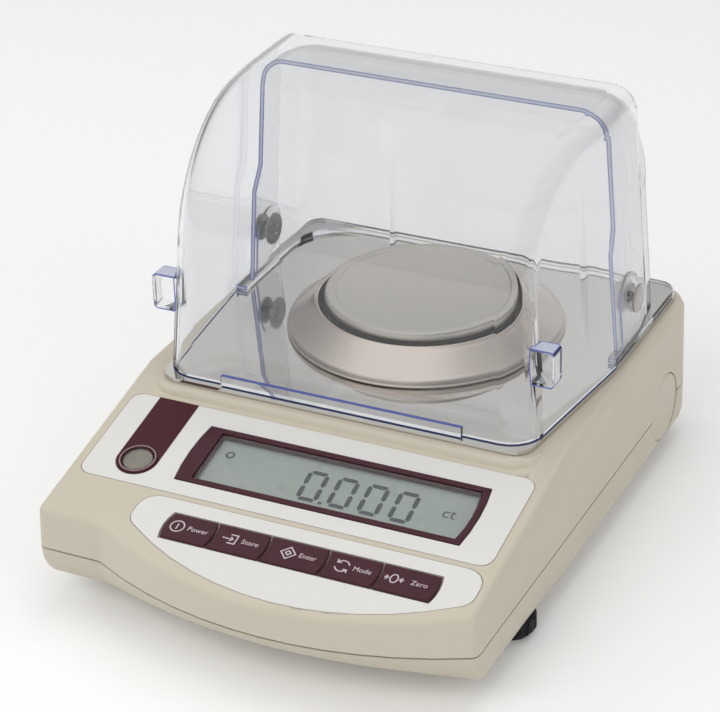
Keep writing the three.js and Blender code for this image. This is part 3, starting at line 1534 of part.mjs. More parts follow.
// Chassis plate with two large windows and standoffs for the main board
function chassisPlate() {
  const top = chassisBottom + chassisThickness;
  const outline = rectangle(-chassisHalfWidth, chassisHalfWidth, chassisFrontY, chassisRearY, chassisRadius);
  let plate = toSolid(prism(outline, chassisBottom, top));
  const windowHalf = chassisHalfWidth - chassisWindowInset * 2;
  plate = cut(plate, toSolid(prism(
    rectangle(
      -windowHalf, windowHalf, chassisFrontY + chassisWindowInset,
      chassisStrutY - chassisStrutHalfWidth, chassisRadius / 2),
    chassisBottom - overrun, top + overrun)));
  const standoffs = [];
  [mainBoardLeft, mainBoardRight].forEach((x) => [mainBoardFrontY, mainBoardRearY].forEach((y) => {
    const inX = x - Math.sign(x - mix(mainBoardLeft, mainBoardRight, 1 / 2)) * standoffRadius;
    const inY = y - Math.sign(y - mix(mainBoardFrontY, mainBoardRearY, 1 / 2)) * standoffRadius;
    standoffs.push(upright(standoffRadius, top - chassisThickness / 2, mainBoardBottom - gap, inX, inY,
      smallCircleSteps));
  }));
  const studHoles = footPlaces.map(([, x, y]) =>
    upright(footStudRadius + footRunning, chassisBottom - overrun, top + overrun, x, y, smallCircleSteps));
  return cut(join(plate, ...standoffs), ...studHoles);
}

const sensorBaseBottom = chassisBottom + chassisThickness + gap;
const sensorBaseTop = sensorBaseBottom + sensorBaseThickness;

function sensorBase() {
  const base = block(-sensorBaseHalfWidth, sensorBaseHalfWidth, sensorBaseFrontY, sensorBaseRearY,
    sensorBaseBottom, sensorBaseTop);
  const stopY = (carrierFrontY + carrierRearY) / 2;
  return cut(base, upright(stopRadius + gap, sensorBaseBottom - overrun, sensorBaseTop + overrun, 0, stopY,
    smallCircleSteps));
}

function sensorPost() {
  return block(-sensorHalfWidth, sensorHalfWidth, sensorPostFrontY, sensorPostRearY,
    sensorBaseTop + gap, sensorBodyTop);
}

// A guide: a bar thinned near both ends so that it can flex there
function sensorGuide(bottom) {
  const [front, rear] = [carrierRearY + gap, sensorPostFrontY - gap];
  const bar = block(-sensorHalfWidth, sensorHalfWidth, front, rear, bottom, bottom + guideThickness);
  const notches = [front + guideNotchInset, rear - guideNotchInset].flatMap((y) => [
    rodAlongX(
      guideNotchRadius, -sensorHalfWidth - overrun, sensorHalfWidth + overrun, y, bottom, smallCircleSteps),
    rodAlongX(guideNotchRadius, -sensorHalfWidth - overrun, sensorHalfWidth + overrun, y,
      bottom + guideThickness, smallCircleSteps),
  ]);
  return cut(bar, ...notches);
}

function loadCarrier() {
  const armTop = sensorBodyTop + gap + carrierArmThickness;
  const column = block(-sensorHalfWidth, sensorHalfWidth, carrierFrontY, carrierRearY, carrierBottom, armTop);
  const arm = block(-carrierArmHalfWidth, carrierArmHalfWidth, carrierFrontY, carrierArmRearY,
    armTop - carrierArmThickness, armTop);
  const post = upright(loadPostRadius, armTop - carrierArmThickness / 2, loadPostTop, 0, panCentreY,
    smallCircleSteps);
  return join(column, arm, post);
}

const leverFrontY = carrierRearY + gap;
const leverRearY = sensorPostFrontY - gap;

function sensorLever() {
  const lever = block(-leverHalfWidth, leverHalfWidth, leverFrontY, leverRearY, leverBottom,
    leverBottom + leverHeight);
  const notch = rodAlongX(guideNotchRadius, -leverHalfWidth - overrun, leverHalfWidth + overrun,
    mix(leverFrontY, leverRearY, 1 / 4), leverBottom, smallCircleSteps);
  return cut(lever, notch);
}

// Vibrating fork: two slim bars joined at both ends
function vibratingFork() {
  const bottom = leverBottom + leverHeight + gap;
  const [front, rear] = [mix(leverFrontY, leverRearY, 1 / 3), leverRearY];
  const body = block(-forkHalfWidth, forkHalfWidth, front, rear, bottom, bottom + forkHeight);
  const slot = block(-forkSlotHalfWidth, forkSlotHalfWidth, front + forkEnd, rear - forkEnd,
    bottom - overrun, bottom + forkHeight + overrun);
  const relief = [-1, 1].map((side) => {
    const inner = forkSlotHalfWidth + forkBarWidth;
    const [left, right] = side > 0 ? [inner, forkHalfWidth + overrun] : [-forkHalfWidth - overrun, -inner];
    return block(
      left, right, front + forkEnd, rear - forkEnd, bottom - overrun, bottom + forkHeight + overrun);
  });
  return cut(body, slot, ...relief);
}

function overloadStop() {
  const y = (carrierFrontY + carrierRearY) / 2;
  return upright(stopRadius, sensorBaseBottom, carrierBottom - loadTravel - gap, 0, y, smallCircleSteps);
}

function mainBoard() {
  const top = mainBoardBottom + boardThickness;
  const board = block(mainBoardLeft, mainBoardRight, mainBoardFrontY, mainBoardRearY, mainBoardBottom, top);
  const width = mainBoardRight - mainBoardLeft;
  const length = mainBoardRearY - mainBoardFrontY;
  const parts = boardPartShares.map(([left, right, front, rear, height]) => block(
    mainBoardLeft + width * left, mainBoardLeft + width * right,
    mainBoardFrontY + length * front, mainBoardFrontY + length * rear,
    mainBoardBottom, top + chipHeight * height));
  return join(board, ...parts);
}

// A socket: block behind the rear wall, nose through it, bore with a core inside
function socket(x, noseRadius, boreRadius, coreRadius) {
  const wallY = housingRearY - housingWall - upperDraft;
  const noseY = housingRearY - noseShortfall;
  const reach = noseRadius + socketBlockMargin;
  const body = block(
    x - reach, x + reach, wallY - gap - socketDepth, wallY - gap, socketZ - reach, socketZ + reach);
  const nose = rodAlongY(noseRadius, wallY - socketDepth / 2, noseY, x, socketZ);
  const bore = rodAlongY(boreRadius, noseY - socketBoreDepth, noseY + overrun, x, socketZ, smallCircleSteps);
  const core = rodAlongY(coreRadius, noseY - socketBoreDepth - overrun / 2, noseY - noseShortfall, x, socketZ,
    smallCircleSteps);
  return cut(join(body, nose), bore).add(core);
}

const materials = {
  housing: new THREE.MeshStandardMaterial({ color: 0xcfc6b2, roughness: 0.45, metalness: 0 }),
  steel: new THREE.MeshStandardMaterial({ color: 0xc4c2bc, roughness: 0.28, metalness: 1 }),
  clear: new THREE.MeshStandardMaterial({ color: 0xeef0f6, roughness: 0.05, metalness: 0 }),
  label: new THREE.MeshStandardMaterial({ color: 0xe2e2de, roughness: 0.5, metalness: 0 }),
  maroon: new THREE.MeshStandardMaterial({ color: 0x4b2832, roughness: 0.35, metalness: 0 }),
  black: new THREE.MeshStandardMaterial({ color: 0x1a1a1c, roughness: 0.5, metalness: 0 }),
  rubber: new THREE.MeshStandardMaterial({ color: 0x161617, roughness: 0.9, metalness: 0 }),
  lcd: new THREE.MeshStandardMaterial({ color: 0x919b98, roughness: 0.2, metalness: 0 }),
  board: new THREE.MeshStandardMaterial({ color: 0x24603a, roughness: 0.5, metalness: 0 }),
  aluminium: new THREE.MeshStandardMaterial({ color: 0xb9bcc0, roughness: 0.4, metalness: 1 }),
  fluid: new THREE.MeshStandardMaterial({ color: 0x8f8a78, roughness: 0.1, metalness: 0 }),
};

const root = new THREE.Group();
root.name = "jewellery_scale";

function add(name, solid, material) {
  root.add(toMesh(name, solid, material));
}

add("upper_housing", upperHousing(), materials.housing);
add("lower_housing", lowerHousing(), materials.housing);
add("side_cap", sideCap(), materials.housing);
screwPlaces.forEach(([place, x, y]) => add(`housing_screw_${place}`, housingScrew(x, y), materials.steel));
add("weighing_plate", weighingPlate(), materials.steel);
add("wind_ring", windRing(), materials.steel);
add("weighing_pan", weighingPan(), materials.steel);
add("pan_support", panSupport(), materials.black);
add("rear_hood", rearHood(), materials.clear);
add("front_hood", frontHood(), materials.clear);
[["left", -1], ["right", 1]].forEach(([place, side]) => {
  add(`pivot_pin_${place}`, pivotPin(side), materials.steel);
  add(`push_nut_${place}`, pushNut(side), materials.steel);
});
add("display_label", displayLabel(), materials.label);
add("window_frame", windowFrame(), materials.maroon);
add("display_window", displayWindow(), materials.clear);
add("lcd_panel", lcdPanel(), materials.lcd);
add("lcd_holder", lcdHolder(), materials.black);
add("display_board", displayBoard(), materials.board);
add("key_label", keyLabel(), materials.label);
keyNames.forEach((name, i) => add(`key_${name}`, keyCap(i), materials.maroon));
add("key_board", keyBoard(), materials.board);
add("level_cup", levelCup(), materials.label);
add("level_fluid", levelFluid(), materials.fluid);
add("level_lens", levelLens(), materials.clear);
footPlaces.forEach(([place, x, y]) => {
  add(`foot_pad_${place}`, footPad(x, y), materials.rubber);
  add(`foot_dial_${place}`, footDial(x, y), materials.black);
});
add("chassis_plate", chassisPlate(), materials.aluminium);
add("sensor_base", sensorBase(), materials.aluminium);
add("sensor_post", sensorPost(), materials.aluminium);
add("lower_guide", sensorGuide(carrierBottom), materials.aluminium);
add("upper_guide", sensorGuide(sensorBodyTop - guideThickness), materials.aluminium);
add("load_carrier", loadCarrier(), materials.aluminium);
add("sensor_lever", sensorLever(), materials.aluminium);
add("vibrating_fork", vibratingFork(), materials.steel);
add("overload_stop", overloadStop(), materials.steel);
add("main_board", mainBoard(), materials.board);
add("power_inlet", socket(powerSocketX, powerNoseRadius, powerBoreRadius, powerPinRadius), materials.black);
add(
  "serial_socket",
  socket(serialSocketX, serialNoseRadius, serialBoreRadius, serialCoreRadius),
  materials.black,
);

export default root;
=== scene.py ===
import json
import math

import bmesh
import bpy
from mathutils import Matrix, Vector

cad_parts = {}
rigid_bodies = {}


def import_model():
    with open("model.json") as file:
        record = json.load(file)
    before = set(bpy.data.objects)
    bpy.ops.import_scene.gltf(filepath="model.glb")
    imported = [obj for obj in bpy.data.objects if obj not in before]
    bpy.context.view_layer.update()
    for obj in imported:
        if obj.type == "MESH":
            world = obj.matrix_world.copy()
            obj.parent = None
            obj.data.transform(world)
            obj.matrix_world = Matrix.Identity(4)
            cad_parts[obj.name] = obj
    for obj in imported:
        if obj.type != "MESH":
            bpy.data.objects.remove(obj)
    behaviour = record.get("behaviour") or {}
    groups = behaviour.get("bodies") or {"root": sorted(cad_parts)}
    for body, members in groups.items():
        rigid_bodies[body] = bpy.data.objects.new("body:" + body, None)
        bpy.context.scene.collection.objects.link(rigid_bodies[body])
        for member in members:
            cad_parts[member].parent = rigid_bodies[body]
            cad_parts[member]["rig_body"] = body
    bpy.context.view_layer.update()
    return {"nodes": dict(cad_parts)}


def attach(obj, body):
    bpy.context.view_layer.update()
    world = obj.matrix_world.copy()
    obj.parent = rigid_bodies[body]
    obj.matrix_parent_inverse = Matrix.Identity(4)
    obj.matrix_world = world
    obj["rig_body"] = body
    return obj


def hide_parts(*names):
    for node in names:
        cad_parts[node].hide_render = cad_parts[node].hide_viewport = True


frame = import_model()

# Lengths are in millimetres, and become metres where a mesh is made; starts and ends are in degrees
MM = 0.001

# Camera, as solved from the photograph
IMAGE_WIDTH = 720
IMAGE_HEIGHT = 712
FOCAL_PIXELS = 2618.7
PRINCIPAL_X = 384.95
PRINCIPAL_Y = 352.10
CAMERA_AZIMUTH = math.radians(25.80)
CAMERA_ELEVATION = math.radians(28.64)
CAMERA_ROLL = math.radians(-1.38)
TARGET = Vector((-0.71, 50.0, 77.1))
TARGET_X = 422.47
TARGET_Y = 294.89
TARGET_DISTANCE = 1056.55
SENSOR_WIDTH = 36.0
CLIP_END = 20

# Sloping front panel
PANEL_SLOPE = math.radians(12.3)
PANEL_Y = -80.0
PANEL_Z = 49.1

# Weighing pan, wind ring and support
PAN_Y = 50.0
PAN_RADIUS = 40.0
PAN_EDGE = 0.7
PAN_EDGE_START = 12
PAN_RIM_SLOPE = 0.5
PAN_TOP = 80.9
PAN_RIM_DROP = 2.9
PAN_SHEET = 1.0
PAN_LIP = 0.35
PAN_FIELD_RADIUS = 35.6
PAN_FIELD_DROP = 0.4
PAN_FIELD_STEP = 0.8
SOCKET_OUTER_RADIUS = 9.5
SOCKET_INNER_RADIUS = 7.5
SOCKET_BOTTOM = 77.6
RING_BOTTOM = 65.3
RING_HEIGHT = 11.9
RING_OUTER_RADIUS = 55.5
RING_STEP_RADIUS = 51.2
RING_BEAD = 0.5
RING_BEAD_END = 70
RING_BAND = 1.0
RING_BEND = 1.6
RING_TOP_RADIUS = 43.6
RING_OPENING_RADIUS = 42.4
RING_SHEET = 1.3
RING_LIP = 0.8
RING_LIP_DROP = 0.2
RING_LIP_START = 20

# Cut edges of the hoods; a facing is the least part of a face's normal along the way it looks
REAR_HOOD_FRONT_Y = 59.0
FRONT_HOOD_FOOT = 66.5
RIM_FACING = 0.4
FOOT_FACING = 0.8
LIP_TOP = 74.0
LIP_REAR = -24.0
LUG_INNER_X = 79.0
LUG_OUTER_X = 84.3
LUG_BOTTOM = 87.5
LUG_TOP = 104.0
LUG_FRONT = -19.9
LUG_REAR = -12.0
LUG_ROOT_X = 74.0
LUG_TOP_LOW = 102.0
LUG_LINE = 0.5
RIM_LIFT = 0.02
RIM_LINE = 0.55

# Spirit level
LEVEL_X = -65.6
LEVEL_S = 9.7
LEVEL_FLANGE_RADIUS = 7.9
LEVEL_BODY_RADIUS = 7.1
LEVEL_BORE_RADIUS = 6.2
LEVEL_TOP = 0.6
LEVEL_FLANGE_BOTTOM = -0.5
LEVEL_BOTTOM = -9.0
LEVEL_FLOOR = -7.5
LEVEL_ROUNDING = 0.35
LEVEL_LINE_INNER = 6.8
LEVEL_LINE_OUTER = 7.15

# Maroon field round the level, which is left without marks
BADGE_LEFT = -74.2
BADGE_RIGHT = -57.0
BADGE_TOP = 44.3
BADGE_HOLE_RADIUS = 8.1
BADGE_HEIGHT = 0.12
BADGE_THICKNESS = 0.1

# Marks on the display
LCD_TOP = -3.3
MARK_THICKNESS = 0.03
MARK_LIFT = 0.02
DISPLAY_MARK_HEIGHT = LCD_TOP + MARK_LIFT
DIGIT_CENTRES = [4.3, 16.9, 29.3, 41.9]
DIGIT_S = 18.8
DIGIT_WIDTH = 9.0
DIGIT_HEIGHT = 16.2
DIGIT_STROKE = 1.9
DIGIT_GAP = 0.28
DIGIT_SLANT = -0.055
POINT_X = 10.6
POINT_S = 11.3
POINT_SIZE = 1.5
STABLE_X = -33.8
STABLE_S = 25.0
STABLE_RADIUS = 1.45
STABLE_STROKE = 0.8
UNIT_X = 56.6
UNIT_S = 20.6
UNIT_HEIGHT = 7.2

# Marks on the keys; the shares are taken of the signs' radius or reach
KEY_TOP = 0.6
ICON_S = -19.0
ICON_CENTRES = {"power": -33.0, "memory": -10.6, "set": 12.9, "function": 34.6, "zero": 55.2}
ICON_STROKE = 0.5
ICON_RADIUS = 2.7
WORDS = {"power": "Power", "memory": "Store", "set": "Enter", "function": "Mode", "zero": "Zero"}
WORD_OFFSETS = {"power": 4.3, "memory": 4.3, "set": 4.3, "function": 4.3, "zero": 6.6}
WORD_HEIGHT = 3.2
POWER_BAR_SHARE = 0.55
BOX_REACH_SHARE = 0.8
BOX_LEFT_SHARE = 0.4
ARROW_TAIL_SHARE = 1.6
ARROW_SHAFT_SHARE = 0.3
ARROW_TIP_SHARE = 0.35
ARROW_HEAD_SHARE = 0.5
DIAMOND_SHARES = (1.1, 0.4)
TURN_STARTS = (20, 200)
TURN_SWEEP = 130
TURN_HEAD_SHARE = 0.4
TURN_HEAD_POINT = -4
ZERO_REACH_SHARE = 0.55
ZERO_TIP_SHARE = 1.5
ZERO_TAIL_SHARE = 2.6
ZERO_HEAD_SHARE = 0.7
OVAL_WIDTH_SHARE = 0.7
OVAL_HEIGHT_SHARE = 0.75

# Fineness of curves, as numbers of steps
TURNED_STEPS = 128
EDGE_STEPS = 8
PAN_EDGE_STEPS = 6
FIELD_STEPS = 6
BEND_STEPS = 6
CONE_STEPS = 10
FLANGE_STEPS = 5
BEVEL_SEGMENTS = 2
CIRCLE_STEPS = 32
HOLE_STEPS = CIRCLE_STEPS * 2
FULL_TURN = 360.0
MITRE_LIMIT = 0.4

# Joining and smoothing of meshes; the weld is in metres
SHARP_ANGLE = math.radians(38)
FLAT_ANGLE = math.radians(0.5)
WELD = 0.00001

# Widths of the rounded edges of pieces that come in sets
KEY_EDGE = 0.2
PAD_EDGE = 0.3
DIAL_EDGE = 0.2
SCREW_EDGE = 0.2

# Looks of the clear pieces and the noise that the materials use; the density is per metre
HOOD_TINT = (0.54, 0.58, 0.70, 1.0)
HOOD_DENSITY = 34
NOISE_LOW = 0.3
NOISE_HIGH = 0.7
SPIN_STRETCH = 0.0006
# Painted glow: emission strength that lightens the blue cut edges of the hoods where they lie in shade
PAINTED_EDGE_GLOW = 0.3
SPIRIT_CLEARNESS = 0.5
CLEAR_IOR = 1.49
SPIRIT_IOR = 1.36

# Floor, in metres, and the room that metal mirrors; levels are shares of white
FLOOR_SIZE = 6.0
FLOOR_GLOW = 0.08
FLOOR_BOUNCE = (0.84, 0.84, 0.84, 1)
FLOOR_LIGHT = (0.95, 0.95, 0.95, 1)
FLOOR_DARK = (0.93, 0.93, 0.93, 1)
WHITE = (1, 1, 1, 1)
WORLD_STRENGTH = 0.4
ROOM_CENTRE = -0.15
SIDE_START = 0.25
SIDE_END = 0.8
SIDE_LEVEL = 0.4
HORIZON_LEVEL = 0.6
CEILING_START = 0.85

# Lamps: name, place and size in metres, power in watts
LAMPS = [
    ("front_softbox", (-0.35, -1.3, 1.25), (1.3, 0.8), 10.0),
    ("left_softbox", (-1.4, -0.1, 1.0), (0.9, 1.2), 5.6),
    ("top_softbox", (0.2, 0.4, 1.6), (1.2, 1.2), 6.2),
    ("right_softbox", (1.4, -0.5, 0.9), (0.8, 1.0), 4.9),
]
LAMP_TARGET = Vector((0, 0, 0.06))


def srgb(red, green, blue):
    """The linear colour, with alpha, of an 8-bit screen colour, by the usual sRGB formula."""
    values = []
    for level in (red, green, blue):
        share = level / 255
        values.append(share / 12.92 if share <= 0.04045 else ((share + 0.055) / 1.055) ** 2.4)
    return (*values, 1.0)


# Materials

class Shader:
    """A node material that is put together step by step around one Principled node."""

    def __init__(self, name, roughness, metallic=0.0, specular=0.5):
        self.material = bpy.data.materials.new(name)
        self.material.use_nodes = True
        self.nodes = self.material.node_tree.nodes
        self.links = self.material.node_tree.links
        self.principled = self.nodes["Principled BSDF"]
        self.output = self.nodes["Material Output"]
        self.principled.inputs["Roughness"].default_value = roughness
        self.principled.inputs["Metallic"].default_value = metallic
        self.principled.inputs["Specular IOR Level"].default_value = specular
        self.place = self.nodes.new("ShaderNodeTexCoord").outputs["Object"]

    def stretched(self, scale):
        """Object coordinates scaled unevenly, for marks that run along one direction."""
        mapping = self.nodes.new("ShaderNodeMapping")
        mapping.inputs["Scale"].default_value = scale
        self.links.new(self.place, mapping.inputs["Vector"])
        return mapping.outputs["Vector"]

    def spun(self, centre_y):
        """Coordinates round an upright axis: radius and height finely, angle coarsely."""
        separate = self.nodes.new("ShaderNodeSeparateXYZ")
        shift = self.nodes.new("ShaderNodeVectorMath")
        shift.operation = "SUBTRACT"
        shift.inputs[1].default_value = (0, centre_y * MM, 0)
        self.links.new(self.place, shift.inputs[0])
        self.links.new(shift.outputs["Vector"], separate.inputs["Vector"])
        flat = self.nodes.new("ShaderNodeCombineXYZ")
        self.links.new(separate.outputs["X"], flat.inputs["X"])
        self.links.new(separate.outputs["Y"], flat.inputs["Y"])
        radius = self.nodes.new("ShaderNodeVectorMath")
        radius.operation = "LENGTH"
        self.links.new(flat.outputs["Vector"], radius.inputs[0])
        angle = self.nodes.new("ShaderNodeMath")
        angle.operation = "ARCTAN2"
        self.links.new(separate.outputs["Y"], angle.inputs[0])
        self.links.new(separate.outputs["X"], angle.inputs[1])
        combined = self.nodes.new("ShaderNodeCombineXYZ")
        self.links.new(radius.outputs["Value"], combined.inputs["X"])
        self.links.new(angle.outputs["Value"], combined.inputs["Y"])
        self.links.new(separate.outputs["Z"], combined.inputs["Z"])
        mapping = self.nodes.new("ShaderNodeMapping")
        mapping.inputs["Scale"].default_value = (1, SPIN_STRETCH, 1)
        self.links.new(combined.outputs["Vector"], mapping.inputs["Vector"])
        return mapping.outputs["Vector"]

    def noise(self, scale, detail=2.0, vector=None):
        texture = self.nodes.new("ShaderNodeTexNoise")
        texture.inputs["Scale"].default_value = scale
        texture.inputs["Detail"].default_value = detail
        self.links.new(vector or self.place, texture.inputs["Vector"])
        return texture.outputs["Fac"]

    def colours(self, first, second, scale, detail=3.0, vector=None):
        """Base colour that drifts between two close colours."""
        mix = self.nodes.new("ShaderNodeMix")
        mix.data_type = "RGBA"
        self.links.new(self.noise(scale, detail, vector), mix.inputs["Factor"])
        mix.inputs["A"].default_value = first
        mix.inputs["B"].default_value = second
        self.links.new(mix.outputs["Result"], self.principled.inputs["Base Color"])
        return self

    def gloss(self, low, high, scale, detail=2.0, vector=None):
        """Roughness that drifts between two values."""
        spread = self.nodes.new("ShaderNodeMapRange")
        self.links.new(self.noise(scale, detail, vector), spread.inputs["Value"])
        spread.inputs["From Min"].default_value = NOISE_LOW
        spread.inputs["From Max"].default_value = NOISE_HIGH
        spread.inputs["To Min"].default_value = low
        spread.inputs["To Max"].default_value = high
        self.links.new(spread.outputs["Result"], self.principled.inputs["Roughness"])
        return self

    def relief(self, scale, depth, strength, detail=2.0, vector=None):
        """Fine relief in the surface; depth is in millimetres."""
        bump = self.nodes.new("ShaderNodeBump")
        bump.inputs["Strength"].default_value = strength
        bump.inputs["Distance"].default_value = depth * MM
        self.links.new(self.noise(scale, detail, vector), bump.inputs["Height"])
        self.links.new(bump.outputs["Normal"], self.principled.inputs["Normal"])
        return self

    def see_through(self, colour, ior, shadow_colour):
        """Clear plastic whose shadow stays light, so that what lies behind it is lit."""
        self.principled.inputs["Base Color"].default_value = colour
        self.principled.inputs["Transmission Weight"].default_value = 1.0
        self.principled.inputs["IOR"].default_value = ior
        clear = self.nodes.new("ShaderNodeBsdfTransparent")
        clear.inputs["Color"].default_value = shadow_colour
        path = self.nodes.new("ShaderNodeLightPath")
        mix = self.nodes.new("ShaderNodeMixShader")
        self.links.new(path.outputs["Is Shadow Ray"], mix.inputs["Fac"])
        self.links.new(self.principled.outputs["BSDF"], mix.inputs[1])
        self.links.new(clear.outputs["BSDF"], mix.inputs[2])
        self.links.new(mix.outputs["Shader"], self.output.inputs["Surface"])
        return self

    def depth_tint(self, colour, density):
        """Colour that deepens with the length of the way through the piece."""
        absorb = self.nodes.new("ShaderNodeVolumeAbsorption")
        absorb.inputs["Color"].default_value = colour
        absorb.inputs["Density"].default_value = density
        self.links.new(absorb.outputs["Volume"], self.output.inputs["Volume"])
        return self


def housing_plastic():
    shader = Shader("housing_plastic", roughness=0.45)
    shader.colours(srgb(207, 199, 182), srgb(201, 193, 175), scale=18)
    shader.gloss(0.40, 0.52, scale=60)
    return shader.relief(scale=2600, depth=0.05, strength=0.22, detail=3).material


def label_film():
    shader = Shader("label_film", roughness=0.4)
    shader.colours(srgb(228, 227, 223), srgb(222, 221, 217), scale=40)
    shader.gloss(0.34, 0.46, scale=90)
    return shader.relief(scale=3400, depth=0.03, strength=0.15).material


def maroon_plastic():
    shader = Shader("maroon_plastic", roughness=0.35, specular=0.25)
    shader.colours(srgb(71, 36, 44), srgb(63, 31, 39), scale=50)
    shader.gloss(0.30, 0.42, scale=120)
    return shader.relief(scale=3000, depth=0.03, strength=0.2).material


def maroon_film():
    shader = Shader("maroon_film", roughness=0.4, specular=0.12)
    shader.colours(srgb(76, 38, 47), srgb(70, 33, 42), scale=60)
    return shader.relief(scale=3200, depth=0.02, strength=0.15).material


def black_plastic():
    shader = Shader("black_plastic", roughness=0.5, specular=0.25)
    shader.colours(srgb(24, 24, 26), srgb(18, 18, 19), scale=60)
    shader.gloss(0.42, 0.58, scale=150)
    return shader.relief(scale=2200, depth=0.05, strength=0.3).material


def foot_rubber():
    shader = Shader("foot_rubber", roughness=0.85)
    shader.colours(srgb(24, 24, 25), srgb(17, 17, 18), scale=90)
    return shader.relief(scale=1500, depth=0.08, strength=0.4, detail=4).material


def hood_plastic(name, colour):
    shader = Shader(name, roughness=0.02)
    shader.see_through(colour, CLEAR_IOR, srgb(246, 246, 248))
    shader.depth_tint(HOOD_TINT, HOOD_DENSITY)
    return shader.relief(scale=30, depth=0.2, strength=0.04, detail=1).material


def edge_tint(name, light, dark, glow):
    """A cut edge in the plastic's blue tint, with a painted glow: an emission that lightens it where it
    lies in shade.
    """
    shader = Shader(name, roughness=0.2)
    shader.colours(light, dark, scale=120)
    shader.principled.inputs["Emission Color"].default_value = light
    shader.principled.inputs["Emission Strength"].default_value = glow
    return shader.relief(scale=400, depth=0.02, strength=0.1, detail=1).material


def window_plastic():
    shader = Shader("window_plastic", roughness=0.08)
    shader.see_through(srgb(240, 242, 240), CLEAR_IOR, srgb(246, 248, 246))
    return shader.relief(scale=300, depth=0.02, strength=0.05, detail=1).material


def level_spirit():
    shader = Shader("level_spirit", roughness=0.02)
    shader.see_through(srgb(176, 164, 150), SPIRIT_IOR, srgb(214, 210, 192))
    shader.principled.inputs["Transmission Weight"].default_value = SPIRIT_CLEARNESS
    return shader.relief(scale=200, depth=0.01, strength=0.05, detail=1).material


def display_glass():
    shader = Shader("display_glass", roughness=0.3)
    shader.colours(srgb(173, 180, 178), srgb(167, 174, 172), scale=25)
    shader.gloss(0.24, 0.36, scale=80)
    return shader.relief(scale=900, depth=0.01, strength=0.1).material


def display_ink():
    shader = Shader("display_ink", roughness=0.5)
    shader.colours(srgb(60, 70, 74), srgb(52, 62, 66), scale=300)
    return shader.material


def white_ink():
    shader = Shader("white_ink", roughness=0.5)
    shader.colours(srgb(212, 200, 202), srgb(200, 188, 190), scale=300)
    return shader.material


def pale_ring():
    shader = Shader("pale_ring", roughness=0.3)
    shader.colours(srgb(176, 150, 155), srgb(166, 140, 145), scale=200)
    return shader.material


def plate_steel():
    shader = Shader("plate_steel", roughness=0.1, metallic=1.0)
    lines = shader.stretched((0.02, 1, 1))
    shader.colours((0.65, 0.64, 0.61, 1), (0.61, 0.60, 0.57, 1), scale=4000, detail=3, vector=lines)
    shader.gloss(0.04, 0.06, scale=2500, detail=2, vector=lines)
    return shader.relief(scale=5000, depth=0.003, strength=0.03, detail=2, vector=lines).material


def pan_steel():
    shader = Shader("pan_steel", roughness=0.3, metallic=1.0)
    lines = shader.stretched((1, 0.03, 1))
    shader.colours((0.60, 0.572, 0.53, 1), (0.57, 0.542, 0.50, 1), scale=3500, detail=3, vector=lines)
    shader.gloss(0.28, 0.32, scale=2500, detail=2, vector=lines)
    return shader.relief(scale=5000, depth=0.003, strength=0.015, detail=2, vector=lines).material


def ring_steel():
    shader = Shader("ring_steel", roughness=0.3, metallic=1.0)
    lines = shader.spun(PAN_Y)
    shader.colours((0.735, 0.66, 0.595, 1), (0.695, 0.62, 0.555, 1), scale=4000, detail=3, vector=lines)
    shader.gloss(0.20, 0.26, scale=3000, detail=2, vector=lines)
    return shader.relief(scale=5000, depth=0.003, strength=0.02, detail=2, vector=lines).material


def pin_steel():
    shader = Shader("pin_steel", roughness=0.22, metallic=1.0)
    shader.colours((0.44, 0.42, 0.40, 1), (0.40, 0.38, 0.36, 1), scale=3000)
    shader.gloss(0.22, 0.28, scale=3000)
    return shader.relief(scale=2600, depth=0.004, strength=0.04).material


def zinc_steel():
    shader = Shader("zinc_steel", roughness=0.35, metallic=1.0)
    shader.colours((0.52, 0.53, 0.55, 1), (0.44, 0.45, 0.46, 1), scale=600)
    return shader.relief(scale=1800, depth=0.02, strength=0.15).material


def cast_aluminium():
    shader = Shader("cast_aluminium", roughness=0.42, metallic=1.0)
    shader.colours((0.62, 0.63, 0.64, 1), (0.54, 0.55, 0.56, 1), scale=120)
    shader.gloss(0.34, 0.5, scale=300)
    return shader.relief(scale=900, depth=0.05, strength=0.25, detail=3).material


def circuit_board():
    shader = Shader("circuit_board", roughness=0.4)
    shader.colours(srgb(38, 96, 60), srgb(28, 78, 48), scale=260, detail=4)
    return shader.relief(scale=700, depth=0.03, strength=0.2).material


materials = {
    "housing": housing_plastic(),
    "label": label_film(),
    "maroon": maroon_plastic(),
    "badge": maroon_film(),
    "black": black_plastic(),
    "rubber": foot_rubber(),
    "front_hood": hood_plastic("front_hood_plastic", srgb(254, 254, 254)),
    "rear_hood": hood_plastic("rear_hood_plastic", srgb(241, 241, 241)),
    # The two blue cut-edge tints carry a painted glow; the pale core has none
    "hood_edge": edge_tint("hood_edge", srgb(94, 106, 162), srgb(82, 93, 150), PAINTED_EDGE_GLOW),
    "hood_line": edge_tint("hood_line", srgb(66, 81, 145), srgb(55, 69, 132), PAINTED_EDGE_GLOW),
    "hood_core": edge_tint("hood_core", srgb(206, 210, 224), srgb(192, 197, 216), 0),
    "window": window_plastic(),
    "spirit": level_spirit(),
    "display": display_glass(),
    "ink": display_ink(),
    "white_ink": white_ink(),
    "pale_ring": pale_ring(),
    "plate": plate_steel(),
    "pan": pan_steel(),
    "ring": ring_steel(),
    "pin": pin_steel(),
    "zinc": zinc_steel(),
    "aluminium": cast_aluminium(),
    "board": circuit_board(),
}


# Mesh helpers

panel = Matrix.Translation(Vector((0, PANEL_Y, PANEL_Z))) @ Matrix.Rotation(PANEL_SLOPE, 4, "X")


def link_piece(name, mesh, material, body):
    """Puts a mesh into the scene with its material and body."""
    piece = bpy.data.objects.new(name, mesh)
    bpy.context.scene.collection.objects.link(piece)
    mesh.materials.clear()
    mesh.materials.append(materials[material])
    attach(piece, body)
    return piece


def smooth(mesh):
    for face in mesh.polygons:
        face.use_smooth = True
    mesh.set_sharp_from_angle(angle=SHARP_ANGLE)


